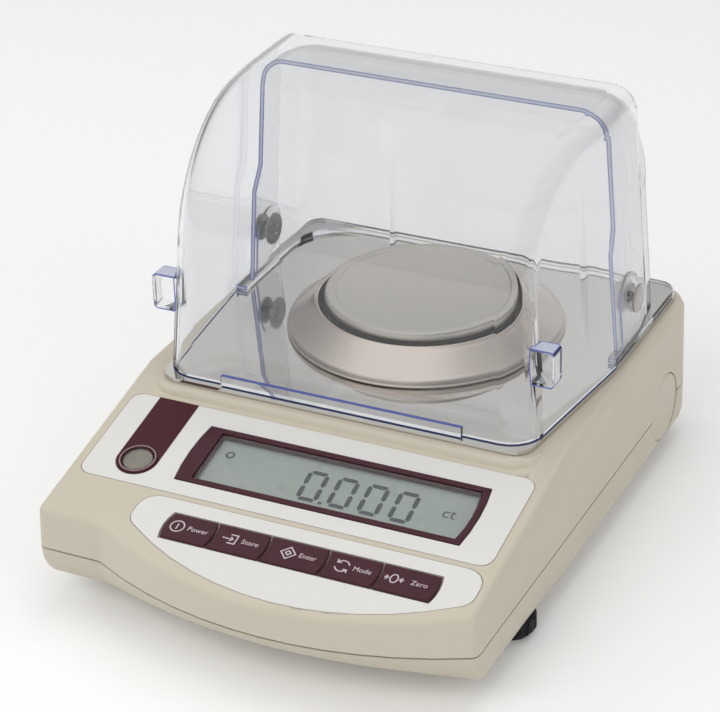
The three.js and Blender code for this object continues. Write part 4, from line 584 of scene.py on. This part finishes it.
def with_even_shading(piece, width):
    """Rounds the sharp edges, if asked, and keeps the flats flat in the shading."""
    if width > 0:
        bevel = piece.modifiers.new("rounded_edges", "BEVEL")
        bevel.width = width * MM
        bevel.segments = BEVEL_SEGMENTS
        bevel.limit_method = "ANGLE"
        bevel.angle_limit = SHARP_ANGLE
        bevel.miter_outer = "MITER_ARC"
    normals = piece.modifiers.new("even_shading", "WEIGHTED_NORMAL")
    normals.keep_sharp = True
    depsgraph = bpy.context.evaluated_depsgraph_get()
    finished = bpy.data.meshes.new_from_object(piece.evaluated_get(depsgraph))
    piece.modifiers.clear()
    piece.data = finished


def refined(node, material, width):
    """A finer copy of a CAD node: welded, smooth where it curves, its edges rounded if asked."""
    source = frame["nodes"][node]
    mesh = source.data.copy()
    work = bmesh.new()
    work.from_mesh(mesh)
    bmesh.ops.remove_doubles(work, verts=work.verts, dist=WELD)
    bmesh.ops.dissolve_limit(
        work, angle_limit=FLAT_ANGLE, verts=work.verts, edges=work.edges, delimit=set())
    work.to_mesh(mesh)
    work.free()
    smooth(mesh)
    piece = bpy.data.objects.new(f"{node}_fine", mesh)
    bpy.context.scene.collection.objects.link(piece)
    with_even_shading(piece, width)
    piece.data.materials.clear()
    piece.data.materials.append(materials[material])
    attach(piece, source["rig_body"])
    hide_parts(node)
    return piece


def turned_mesh(profile, centre):
    """A turned body from a closed section of [radius, height]; points on the axis are shared."""
    work = bmesh.new()
    rings = []
    for radius, height in profile:
        if radius == 0:
            rings.append([work.verts.new(centre + Vector((0, 0, height)))])
            continue
        ring = []
        for i in range(TURNED_STEPS):
            angle = math.tau * i / TURNED_STEPS
            offset = Vector((radius * math.cos(angle), radius * math.sin(angle), height))
            ring.append(work.verts.new(centre + offset))
        rings.append(ring)
    closed = profile[0][0] > 0
    following = rings[1:] + (rings[:1] if closed else [])
    for below, above in zip(rings, following):
        for i in range(TURNED_STEPS):
            j = (i + 1) % TURNED_STEPS
            corners = [below[i % len(below)], below[j % len(below)],
                       above[j % len(above)], above[i % len(above)]]
            unique = list(dict.fromkeys(corners))
            if len(unique) > 2:
                work.faces.new(unique)
    bmesh.ops.recalc_face_normals(work, faces=work.faces)
    return work


def finish_mesh(work, name, matrix=None):
    """Scales the work mesh from millimetres to metres, smooths it and hands it back."""
    if matrix is not None:
        bmesh.ops.transform(work, matrix=matrix, verts=work.verts)
    bmesh.ops.scale(work, vec=(MM, MM, MM), verts=work.verts)
    mesh = bpy.data.meshes.new(name)
    work.to_mesh(mesh)
    work.free()
    smooth(mesh)
    return mesh


def arc(centre_r, centre_z, radius_r, radius_z, start, end, steps):
    """Points of an ellipse's arc in a turned section, angles in degrees."""
    points = []
    for i in range(steps + 1):
        angle = math.radians(start + (end - start) * i / steps)
        points.append((centre_r + radius_r * math.cos(angle), centre_z + radius_z * math.sin(angle)))
    return points


# Cut edges of the clear hoods, where the plastic shows its own blue tint; the blue skins carry a painted
# glow

def skin_piece(work, name, material, body):
    mesh = bpy.data.meshes.new(name)
    work.to_mesh(mesh)
    link_piece(name, mesh, material, body)


def hood_rim(hood, name, body, picked, material, line=0.0, core_material=None):
    """A thin skin on the picked faces: blue all over, or blue lines beside a paler or clear core."""
    work = bmesh.new()
    work.from_mesh(hood.data)
    spare = [face for face in work.faces if not picked(face)]
    bmesh.ops.delete(work, geom=spare, context="FACES")
    work.normal_update()
    for vertex in work.verts:
        vertex.co += vertex.normal * RIM_LIFT * MM
    if line > 0:
        lines = bmesh.ops.inset_region(
            work, faces=work.faces[:], thickness=line * MM, use_boundary=True,
            use_even_offset=True)["faces"]
        work.faces.index_update()
        numbers = {face.index for face in lines}
        if core_material:
            core = work.copy()
            core.faces.ensure_lookup_table()
            bmesh.ops.delete(core, geom=[core.faces[i] for i in numbers], context="FACES")
            skin_piece(core, f"{name}_core", core_material, body)
            core.free()
        bmesh.ops.delete(work, geom=[f for f in work.faces if f.index not in numbers], context="FACES")
    skin_piece(work, name, material, body)
    work.free()


def rear_rim_face(face):
    """The cut edge of the rear hood that faces the front hood."""
    return face.normal.y < -RIM_FACING and face.calc_center_median().y < REAR_HOOD_FRONT_Y * MM


def front_foot_face(face):
    """The underside of the front hood's foot."""
    return face.normal.z < -FOOT_FACING and face.calc_center_median().z < FRONT_HOOD_FOOT * MM


def lip_top_face(face):
    """The narrow top of the thick lip along the front hood's foot."""
    place = face.calc_center_median()
    return face.normal.z > FOOT_FACING and place.z < LIP_TOP * MM and place.y < LIP_REAR * MM


def lug_face(face):
    """The front or the outer face of a finger lug, which stands out beyond the side walls."""
    place = face.calc_center_median()
    at_lug = LUG_BOTTOM * MM < place.z < LUG_TOP * MM and place.y < LUG_REAR * MM
    front = abs(place.x) > LUG_INNER_X * MM and place.y < LUG_FRONT * MM
    return at_lug and (front or abs(place.x) > LUG_OUTER_X * MM)


def lug_top_face(face):
    """The upper side of a finger lug."""
    place = face.calc_center_median()
    at_top = LUG_TOP_LOW * MM < place.z < LUG_TOP * MM and abs(place.x) > LUG_ROOT_X * MM
    return face.normal.z > FOOT_FACING and at_top


# Weighing pan: slightly sunk field, small round edge, and an upright rim with a rounded lip
def weighing_pan():
    low = PAN_TOP - PAN_RIM_DROP
    under = PAN_TOP - PAN_SHEET
    edge_radius = PAN_RADIUS - PAN_RIM_SLOPE - PAN_EDGE
    profile = [(0, under), (SOCKET_INNER_RADIUS, under), (SOCKET_INNER_RADIUS, SOCKET_BOTTOM)]
    profile += [(SOCKET_OUTER_RADIUS, SOCKET_BOTTOM), (SOCKET_OUTER_RADIUS, under)]
    profile += [(edge_radius - PAN_EDGE, under), (PAN_RADIUS - PAN_SHEET, under - PAN_EDGE)]
    lip = PAN_SHEET / 2
    profile += arc(PAN_RADIUS - lip, low, lip, PAN_LIP, 180, 360, EDGE_STEPS)
    bend = PAN_EDGE
    profile += arc(edge_radius, PAN_TOP - bend, bend, bend, PAN_EDGE_START, 90, PAN_EDGE_STEPS)
    for i in range(FIELD_STEPS + 1):
        share = i / FIELD_STEPS
        drop = PAN_FIELD_DROP * (1 - math.cos(math.pi * share)) / 2
        profile.append((PAN_FIELD_RADIUS - PAN_FIELD_STEP * share, PAN_TOP - drop))
    profile += [(0, PAN_TOP - PAN_FIELD_DROP)]
    work = turned_mesh(profile, Vector((0, PAN_Y, 0)))
    mesh = finish_mesh(work, "weighing_pan_fine")
    piece = link_piece("weighing_pan_fine", mesh, "pan", "pan")
    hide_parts("weighing_pan")


# Wind ring: a bead at the foot, a short upright band, a soft bend, a cone and a rolled upper lip
def wind_ring():
    top = RING_BOTTOM + RING_HEIGHT
    band_top = RING_BOTTOM + RING_BEAD * 2 + RING_BAND
    band_radius = RING_OUTER_RADIUS - RING_BEAD
    bead = RING_BEAD
    profile = [(band_radius - RING_SHEET, RING_BOTTOM)]
    profile += arc(band_radius, RING_BOTTOM + bead, bead, bead, -90, RING_BEAD_END, EDGE_STEPS)
    slope = math.degrees(math.atan2(top - band_top, RING_STEP_RADIUS - RING_TOP_RADIUS))
    bend_end = 90 - slope / 2
    profile += arc(band_radius - RING_BEND, band_top, RING_BEND, RING_BEND, 0, bend_end, BEND_STEPS)
    start_radius, start_height = profile[-1]
    rise = top - RING_LIP_DROP - start_height
    for i in range(1, CONE_STEPS):
        share = i / CONE_STEPS
        radius = start_radius + (RING_TOP_RADIUS - start_radius) * share
        profile.append((radius, start_height + rise * share))
    half = (RING_TOP_RADIUS - RING_OPENING_RADIUS) / 2
    middle = RING_OPENING_RADIUS + half
    profile += arc(middle, top - half, half, half, RING_LIP_START, 180, EDGE_STEPS)
    profile += [(RING_OPENING_RADIUS, top - RING_LIP)]
    profile += [(RING_TOP_RADIUS - RING_SHEET, top - RING_LIP * 2)]
    profile += [(band_radius - RING_SHEET, band_top)]
    work = turned_mesh(profile, Vector((0, PAN_Y, 0)))
    mesh = finish_mesh(work, "wind_ring_fine")
    piece = link_piece("wind_ring_fine", mesh, "ring", "ring")
    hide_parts("wind_ring")


# Level: maroon cup with a flange about its mouth and a pale line on the flange
def level_cup():
    centre = Vector((LEVEL_X, LEVEL_S, 0))
    rounding = LEVEL_ROUNDING
    profile = [(0, LEVEL_BOTTOM), (LEVEL_BODY_RADIUS, LEVEL_BOTTOM)]
    profile += [(LEVEL_BODY_RADIUS, LEVEL_FLANGE_BOTTOM), (LEVEL_FLANGE_RADIUS, LEVEL_FLANGE_BOTTOM)]
    flange_radius = LEVEL_FLANGE_RADIUS - rounding
    profile += arc(flange_radius, LEVEL_TOP - rounding, rounding, rounding, 0, 90, FLANGE_STEPS)
    profile += [(LEVEL_BORE_RADIUS + rounding, LEVEL_TOP), (LEVEL_BORE_RADIUS, LEVEL_TOP - rounding)]
    profile += [(LEVEL_BORE_RADIUS, LEVEL_FLOOR), (0, LEVEL_FLOOR)]
    work = turned_mesh(profile, centre)
    mesh = finish_mesh(work, "level_cup_fine", panel)
    piece = link_piece("level_cup_fine", mesh, "maroon", "base")
    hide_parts("level_cup")
    low = LEVEL_TOP - MARK_THICKNESS
    high = LEVEL_TOP + MARK_THICKNESS
    line = [(LEVEL_LINE_INNER, low), (LEVEL_LINE_OUTER, low),
            (LEVEL_LINE_OUTER, high), (LEVEL_LINE_INNER, high)]
    work = turned_mesh(line, centre)
    mesh = finish_mesh(work, "level_line", panel)
    link_piece("level_line", mesh, "pale_ring", "base")


# Flat marks on the front panel

def raise_outline(work, outline, height):
    """A thin prism over a flat outline in the panel's own frame."""
    low = [work.verts.new((x, s, height)) for x, s in outline]
    high = [work.verts.new((x, s, height + MARK_THICKNESS)) for x, s in outline]
    work.faces.new(list(reversed(low)))
    work.faces.new(high)
    for i in range(len(outline)):
        j = (i + 1) % len(outline)
        work.faces.new([low[i], low[j], high[j], high[i]])


def stroke(work, points, width, height, closed=False):
    """A line of even width, as one thin prism for each stretch with shared mitred ends."""
    count = len(points)
    places = [Vector(p) for p in points]
    sides = []
    for i, place in enumerate(places):
        before = places[i - 1] if closed or i > 0 else None
        after = places[(i + 1) % count] if closed or i < count - 1 else None
        incoming = (place - before).normalized() if before is not None else (after - place).normalized()
        outgoing = (after - place).normalized() if after is not None else incoming
        along = (incoming + outgoing).normalized()
        across = Vector((-along.y, along.x))
        stretch = 1 / max(MITRE_LIMIT, across.dot(Vector((-incoming.y, incoming.x))))
        sides.append((place + across * stretch * width / 2, place - across * stretch * width / 2))
    spans = count if closed else count - 1
    for i in range(spans):
        (left, right), (next_left, next_right) = sides[i], sides[(i + 1) % count]
        raise_outline(work, [right, next_right, next_left, left], height)


def circle(x, s, radius, start=0.0, end=FULL_TURN, steps=CIRCLE_STEPS):
    """Points of a circle or of an arc of one, in the panel's own frame."""
    points = []
    for i in range(steps + 1):
        angle = math.radians(start + (end - start) * i / steps)
        points.append((x + radius * math.cos(angle), s + radius * math.sin(angle)))
    return points[:-1] if end - start == FULL_TURN else points


def panel_piece(work, name, material, body):
    return link_piece(name, finish_mesh(work, name, panel), material, body)


# Maroon field: straight sides down to the level, a round end about it and a hole for it
def badge():
    work = bmesh.new()
    middle = (BADGE_LEFT + BADGE_RIGHT) / 2
    half = (BADGE_RIGHT - BADGE_LEFT) / 2
    outline = circle(middle, LEVEL_S, half, 180, 360)
    outline += [(BADGE_RIGHT, BADGE_TOP), (BADGE_LEFT, BADGE_TOP)]
    rim = circle(LEVEL_X, LEVEL_S, BADGE_HOLE_RADIUS, 180, 540, HOLE_STEPS)
    levels = []
    for height in (BADGE_HEIGHT, BADGE_HEIGHT + BADGE_THICKNESS):
        outer = [work.verts.new((x, s, height)) for x, s in outline]
        hole = [work.verts.new((x, s, height)) for x, s in rim]
        for i in range(CIRCLE_STEPS):
            work.faces.new([outer[i], outer[i + 1], hole[i + 1], hole[i]])
        upper_half = hole[CIRCLE_STEPS:] + hole[:1]
        work.faces.new(outer[CIRCLE_STEPS:] + outer[:1] + upper_half[::-1])
        levels.append((outer, hole))
    for low, high in zip(*levels):
        for i in range(len(low)):
            j = (i + 1) % len(low)
            work.faces.new([low[i], low[j], high[j], high[i]])
    bmesh.ops.recalc_face_normals(work, faces=work.faces)
    panel_piece(work, "maroon_field", "badge", "base")


def digit_segments(x):
    """The six bars of a nought, each with pointed ends cut square by small gaps."""
    half = DIGIT_STROKE / 2
    right = DIGIT_WIDTH / 2 - half
    top = DIGIT_HEIGHT / 2 - half
    gap = DIGIT_GAP
    bars = []
    for s in (-top, top):
        sign = math.copysign(1, s)
        inner = s - sign * half
        outer = s + sign * half
        end = right - gap
        bars.append([(-end, s), (half - end, inner), (end - half, inner), (end, s),
                     (end - half / 2, outer), (half / 2 - end, outer)])
    for side in (-right, right):
        for low, high in ((-top + gap, -gap), (gap, top - gap)):
            bars.append([(side - half, low + half), (side, low), (side + half, low + half),
                         (side + half, high - half), (side, high), (side - half, high - half)])
    placed = []
    for bar in bars:
        points = [(x + px + DIGIT_SLANT * ps, DIGIT_S + ps) for px, ps in bar]
        area = sum(a[0] * b[1] - b[0] * a[1] for a, b in zip(points, points[1:] + points[:1]))
        placed.append(points if area > 0 else points[::-1])
    return placed


# Display: nought point nought nought nought, the steady mark and the unit
def display_marks():
    work = bmesh.new()
    height = DISPLAY_MARK_HEIGHT
    for x in DIGIT_CENTRES:
        for bar in digit_segments(x):
            raise_outline(work, bar, height)
    half = POINT_SIZE / 2
    square = [(POINT_X - half, POINT_S - half), (POINT_X + half, POINT_S - half),
              (POINT_X + half, POINT_S + half), (POINT_X - half, POINT_S + half)]
    raise_outline(work, square, height)
    stroke(work, circle(STABLE_X, STABLE_S, STABLE_RADIUS), STABLE_STROKE, height, closed=True)
    panel_piece(work, "display_digits", "ink", "base")


def word(name, text, x, s, size, height, material, body):
    """A short generic mark in the plain built-in font, as a thin mesh."""
    curve = bpy.data.curves.new(name, "FONT")
    curve.body = text
    curve.size = size
    curve.extrude = MARK_THICKNESS / 2
    curve.align_y = "CENTER"
    source = bpy.data.objects.new(name + "_source", curve)
    bpy.context.scene.collection.objects.link(source)
    depsgraph = bpy.context.evaluated_depsgraph_get()
    mesh = bpy.data.meshes.new_from_object(source.evaluated_get(depsgraph))
    bpy.data.objects.remove(source)
    work = bmesh.new()
    work.from_mesh(mesh)
    bmesh.ops.translate(work, vec=(x, s, height + MARK_THICKNESS / 2), verts=work.verts)
    return panel_piece(work, name, material, body)


# Key marks: a plain sign and a short word on each key

def power_sign(work, x, height):
    stroke(work, circle(x, ICON_S, ICON_RADIUS), ICON_STROKE, height, closed=True)
    bar = ICON_RADIUS * POWER_BAR_SHARE
    stroke(work, [(x, ICON_S - bar), (x, ICON_S + bar)], ICON_STROKE, height)


def memory_sign(work, x, height):
    reach = ICON_RADIUS * BOX_REACH_SHARE
    left = x - reach * BOX_LEFT_SHARE
    right = x + reach
    top = ICON_S + reach
    bottom = ICON_S - reach
    box = [(left, top), (right, top), (right, bottom), (left, bottom)]
    stroke(work, box, ICON_STROKE, height)
    shaft = [(x - reach * ARROW_TAIL_SHARE, ICON_S), (x + reach * ARROW_SHAFT_SHARE, ICON_S)]
    stroke(work, shaft, ICON_STROKE, height)
    tip = x + reach * ARROW_TIP_SHARE
    back = reach * ARROW_HEAD_SHARE
    head = [(tip - back, ICON_S + back), (tip, ICON_S), (tip - back, ICON_S - back)]
    stroke(work, head, ICON_STROKE, height)


def set_sign(work, x, height):
    for share in DIAMOND_SHARES:
        reach = ICON_RADIUS * share
        diamond = [(x - reach, ICON_S), (x, ICON_S - reach), (x + reach, ICON_S), (x, ICON_S + reach)]
        stroke(work, diamond, ICON_STROKE, height, closed=True)


def function_sign(work, x, height):
    for start in TURN_STARTS:
        bend = circle(x, ICON_S, ICON_RADIUS, start, start + TURN_SWEEP)
        stroke(work, bend, ICON_STROKE, height)
        tip = Vector(bend[-1])
        before = Vector(bend[TURN_HEAD_POINT])
        ahead = (tip - before).normalized()
        across = Vector((-ahead.y, ahead.x))
        back = ICON_RADIUS * TURN_HEAD_SHARE
        head = [tip - ahead * back + across * back, tip, tip - ahead * back - across * back]
        stroke(work, head, ICON_STROKE, height)


def zero_sign(work, x, height):
    reach = ICON_RADIUS * ZERO_REACH_SHARE
    back = reach * ZERO_HEAD_SHARE
    for side in (-1, 1):
        tip = x + side * reach * ZERO_TIP_SHARE
        tail = x + side * reach * ZERO_TAIL_SHARE
        stroke(work, [(tail, ICON_S), (tip, ICON_S)], ICON_STROKE, height)
        head = [(tip + side * back, ICON_S + back), (tip, ICON_S), (tip + side * back, ICON_S - back)]
        stroke(work, head, ICON_STROKE, height)
    ring = circle(x, ICON_S, ICON_RADIUS * OVAL_HEIGHT_SHARE)
    oval = [(x + (px - x) * OVAL_WIDTH_SHARE, s) for px, s in ring]
    stroke(work, oval, ICON_STROKE, height, closed=True)


SIGNS = {
    "power": power_sign,
    "memory": memory_sign,
    "set": set_sign,
    "function": function_sign,
    "zero": zero_sign,
}


def key_marks():
    for key, sign in SIGNS.items():
        x = ICON_CENTRES[key]
        work = bmesh.new()
        sign(work, x, KEY_TOP)
        body = f"{key}_key"
        panel_piece(work, f"{key}_sign", "white_ink", body)
        word(f"{key}_word", WORDS[key], x + WORD_OFFSETS[key], ICON_S, WORD_HEIGHT, KEY_TOP,
             "white_ink", body)


# Stage, light and camera

def seen_rays(nodes, links):
    """One for the rays that show a surface or the sky to the camera, also by mirror or glass."""
    path = nodes.new("ShaderNodeLightPath")
    seen = path.outputs["Is Camera Ray"]
    for ray in ("Is Glossy Ray", "Is Transmission Ray"):
        either = nodes.new("ShaderNodeMath")
        either.operation = "MAXIMUM"
        links.new(seen, either.inputs[0])
        links.new(path.outputs[ray], either.inputs[1])
        seen = either.outputs["Value"]
    return path, seen


def stage():
    work = bmesh.new()
    half = FLOOR_SIZE / 2
    corners = [(-half, -half, 0), (half, -half, 0), (half, half, 0), (-half, half, 0)]
    work.faces.new([work.verts.new(corner) for corner in corners])
    mesh = bpy.data.meshes.new("floor")
    work.to_mesh(mesh)
    work.free()
    floor = bpy.data.objects.new("floor", mesh)
    bpy.context.scene.collection.objects.link(floor)
    shader = Shader("floor_paper", roughness=0.9)
    shader.colours(FLOOR_LIGHT, FLOOR_DARK, scale=2)
    shown = shader.nodes.new("ShaderNodeMix")
    shown.data_type = "RGBA"
    shader.links.new(seen_rays(shader.nodes, shader.links)[1], shown.inputs["Factor"])
    shown.inputs["A"].default_value = FLOOR_BOUNCE
    shader.links.new(shader.principled.inputs["Base Color"].links[0].from_socket, shown.inputs["B"])
    shader.links.new(shown.outputs["Result"], shader.principled.inputs["Base Color"])
    shader.principled.inputs["Emission Color"].default_value = WHITE
    shader.principled.inputs["Emission Strength"].default_value = FLOOR_GLOW
    mesh.materials.append(shader.material)


def share_of(nodes, links, value, start, end, low, high):
    """A smooth step of a value, from the low result at the start to the high one at the end."""
    step = nodes.new("ShaderNodeMapRange")
    step.interpolation_type = "SMOOTHSTEP"
    links.new(value, step.inputs["Value"])
    step.inputs["From Min"].default_value = start
    step.inputs["From Max"].default_value = end
    step.inputs["To Min"].default_value = low
    step.inputs["To Max"].default_value = high
    return step.outputs["Result"]


def product(nodes, links, first, second):
    multiply = nodes.new("ShaderNodeMath")
    multiply.operation = "MULTIPLY"
    links.new(first, multiply.inputs[0])
    links.new(second, multiply.inputs[1])
    return multiply.outputs["Value"]


def world_light():
    """White to the camera and through glass; metal mirrors a room with darker sides and horizon."""
    world = bpy.data.worlds.new("studio")
    bpy.context.scene.world = world
    world.use_nodes = True
    nodes = world.node_tree.nodes
    links = world.node_tree.links
    background = nodes["Background"]
    background.inputs["Color"].default_value = WHITE
    path, seen = seen_rays(nodes, links)
    parts = nodes.new("ShaderNodeSeparateXYZ")
    links.new(nodes.new("ShaderNodeTexCoord").outputs["Generated"], parts.inputs["Vector"])
    offset = nodes.new("ShaderNodeMath")
    offset.operation = "SUBTRACT"
    links.new(parts.outputs["X"], offset.inputs[0])
    offset.inputs[1].default_value = ROOM_CENTRE
    sideways = nodes.new("ShaderNodeMath")
    sideways.operation = "ABSOLUTE"
    links.new(offset.outputs["Value"], sideways.inputs[0])
    sides = share_of(nodes, links, sideways.outputs["Value"], SIDE_START, SIDE_END, 1, SIDE_LEVEL)
    heights = share_of(nodes, links, parts.outputs["Z"], 0, CEILING_START, HORIZON_LEVEL, 1)
    mirrored = nodes.new("ShaderNodeMix")
    links.new(path.outputs["Is Glossy Ray"], mirrored.inputs["Factor"])
    mirrored.inputs["A"].default_value = 1
    links.new(product(nodes, links, sides, heights), mirrored.inputs["B"])
    strength = share_of(nodes, links, seen, 0, 1, WORLD_STRENGTH, 1)
    final = product(nodes, links, strength, mirrored.outputs["Result"])
    links.new(final, background.inputs["Strength"])


def lamps():
    for name, place, (width, height), power in LAMPS:
        lamp = bpy.data.lights.new(name, "AREA")
        lamp.shape = "RECTANGLE"
        lamp.size = width
        lamp.size_y = height
        lamp.energy = power
        holder = bpy.data.objects.new(name, lamp)
        holder.location = place
        holder.visible_glossy = False
        holder.visible_transmission = False
        holder.rotation_euler = (LAMP_TARGET - Vector(place)).to_track_quat("-Z", "Y").to_euler()
        bpy.context.scene.collection.objects.link(holder)


def camera():
    forward = Vector((-math.sin(CAMERA_AZIMUTH) * math.cos(CAMERA_ELEVATION),
                      math.cos(CAMERA_AZIMUTH) * math.cos(CAMERA_ELEVATION),
                      -math.sin(CAMERA_ELEVATION)))
    level = Vector((math.cos(CAMERA_AZIMUTH), math.sin(CAMERA_AZIMUTH), 0))
    upward = level.cross(forward)
    right = level * math.cos(CAMERA_ROLL) + upward * math.sin(CAMERA_ROLL)
    up = upward * math.cos(CAMERA_ROLL) - level * math.sin(CAMERA_ROLL)
    across = (TARGET_X - PRINCIPAL_X) * TARGET_DISTANCE / FOCAL_PIXELS
    above = -(TARGET_Y - PRINCIPAL_Y) * TARGET_DISTANCE / FOCAL_PIXELS
    place = (TARGET - right * across - up * above - forward * TARGET_DISTANCE) * MM
    lens = bpy.data.cameras.new("camera")
    lens.sensor_fit = "HORIZONTAL"
    lens.sensor_width = SENSOR_WIDTH
    lens.lens = FOCAL_PIXELS / IMAGE_WIDTH * SENSOR_WIDTH
    lens.shift_x = (IMAGE_WIDTH / 2 - PRINCIPAL_X) / IMAGE_WIDTH
    lens.shift_y = (PRINCIPAL_Y - IMAGE_HEIGHT / 2) / IMAGE_WIDTH
    lens.clip_end = CLIP_END
    holder = bpy.data.objects.new("camera", lens)
    axes = Matrix((right, up, -forward)).transposed().to_4x4()
    holder.matrix_world = Matrix.Translation(place) @ axes
    bpy.context.scene.collection.objects.link(holder)
    bpy.context.scene.camera = holder
    bpy.context.scene.view_settings.view_transform = "Standard"


# Finer copies of the CAD nodes: node, material, slot, width of the rounded edges
REFINED = [
    ("upper_housing", "housing", "housing", 0.0),
    ("lower_housing", "housing", "housing", 0.0),
    ("side_cap", "housing", "housing", 0.3),
    ("weighing_plate", "plate", "plate_steel", 0.7),
    ("pan_support", "black", "black_plastic", 0.2),
    ("rear_hood", "rear_hood", "clear_plastic", 0.0),
    ("front_hood", "front_hood", "clear_plastic", 0.0),
    ("pivot_pin_left", "pin", "pin_steel", 0.15),
    ("pivot_pin_right", "pin", "pin_steel", 0.15),
    ("push_nut_left", "pin", "pin_steel", 0.12),
    ("push_nut_right", "pin", "pin_steel", 0.12),
    ("display_label", "label", "label_film", 0.05),
    ("key_label", "label", "label_film", 0.05),
    ("window_frame", "maroon", "maroon_plastic", 0.2),
    ("display_window", "window", "window_plastic", 0.1),
    ("lcd_panel", "display", "display_glass", 0.1),
    ("lcd_holder", "black", "black_plastic", 0.2),
    ("display_board", "board", "circuit_board", 0.1),
    ("key_board", "board", "circuit_board", 0.1),
    ("main_board", "board", "circuit_board", 0.1),
    ("level_fluid", "spirit", "level_fluid", 0.0),
    ("level_lens", "window", "clear_plastic", 0.1),
    ("chassis_plate", "aluminium", "cast_aluminium", 0.3),
    ("sensor_base", "aluminium", "cast_aluminium", 0.3),
    ("sensor_post", "aluminium", "cast_aluminium", 0.3),
    ("lower_guide", "aluminium", "cast_aluminium", 0.15),
    ("upper_guide", "aluminium", "cast_aluminium", 0.15),
    ("load_carrier", "aluminium", "cast_aluminium", 0.3),
    ("sensor_lever", "aluminium", "cast_aluminium", 0.2),
    ("vibrating_fork", "zinc", "fork_steel", 0.1),
    ("overload_stop", "zinc", "fork_steel", 0.2),
    ("power_inlet", "black", "black_plastic", 0.2),
    ("serial_socket", "black", "black_plastic", 0.2),
]
fine = {}
for node, material, slot, width in REFINED:
    fine[node] = refined(node, material, width)
for key in SIGNS:
    refined(f"key_{key}", "maroon", KEY_EDGE)
for place in ("front_left", "front_right", "rear_left", "rear_right"):
    refined(f"foot_pad_{place}", "rubber", PAD_EDGE)
    refined(f"foot_dial_{place}", "black", DIAL_EDGE)
    refined(f"housing_screw_{place}", "zinc", SCREW_EDGE)

rear_hood = fine["rear_hood"]
front_hood = fine["front_hood"]
front_body = "front_windshield"
hood_rim(rear_hood, "rear_hood_rim", "rear_windshield", rear_rim_face, "hood_edge", RIM_LINE, "hood_core")
hood_rim(front_hood, "front_hood_rim", front_body, front_foot_face, "hood_edge")
hood_rim(front_hood, "lip_rim", front_body, lip_top_face, "hood_line")
hood_rim(front_hood, "lug_rims", front_body, lug_face, "hood_edge", LUG_LINE)
hood_rim(front_hood, "lug_tops", front_body, lug_top_face, "hood_edge", LUG_LINE, "hood_core")
weighing_pan()
wind_ring()
level_cup()
badge()
display_marks()
word("display_unit", "ct", UNIT_X, UNIT_S, UNIT_HEIGHT, DISPLAY_MARK_HEIGHT,
     "ink", "base")
key_marks()
stage()
world_light()
lamps()
camera()
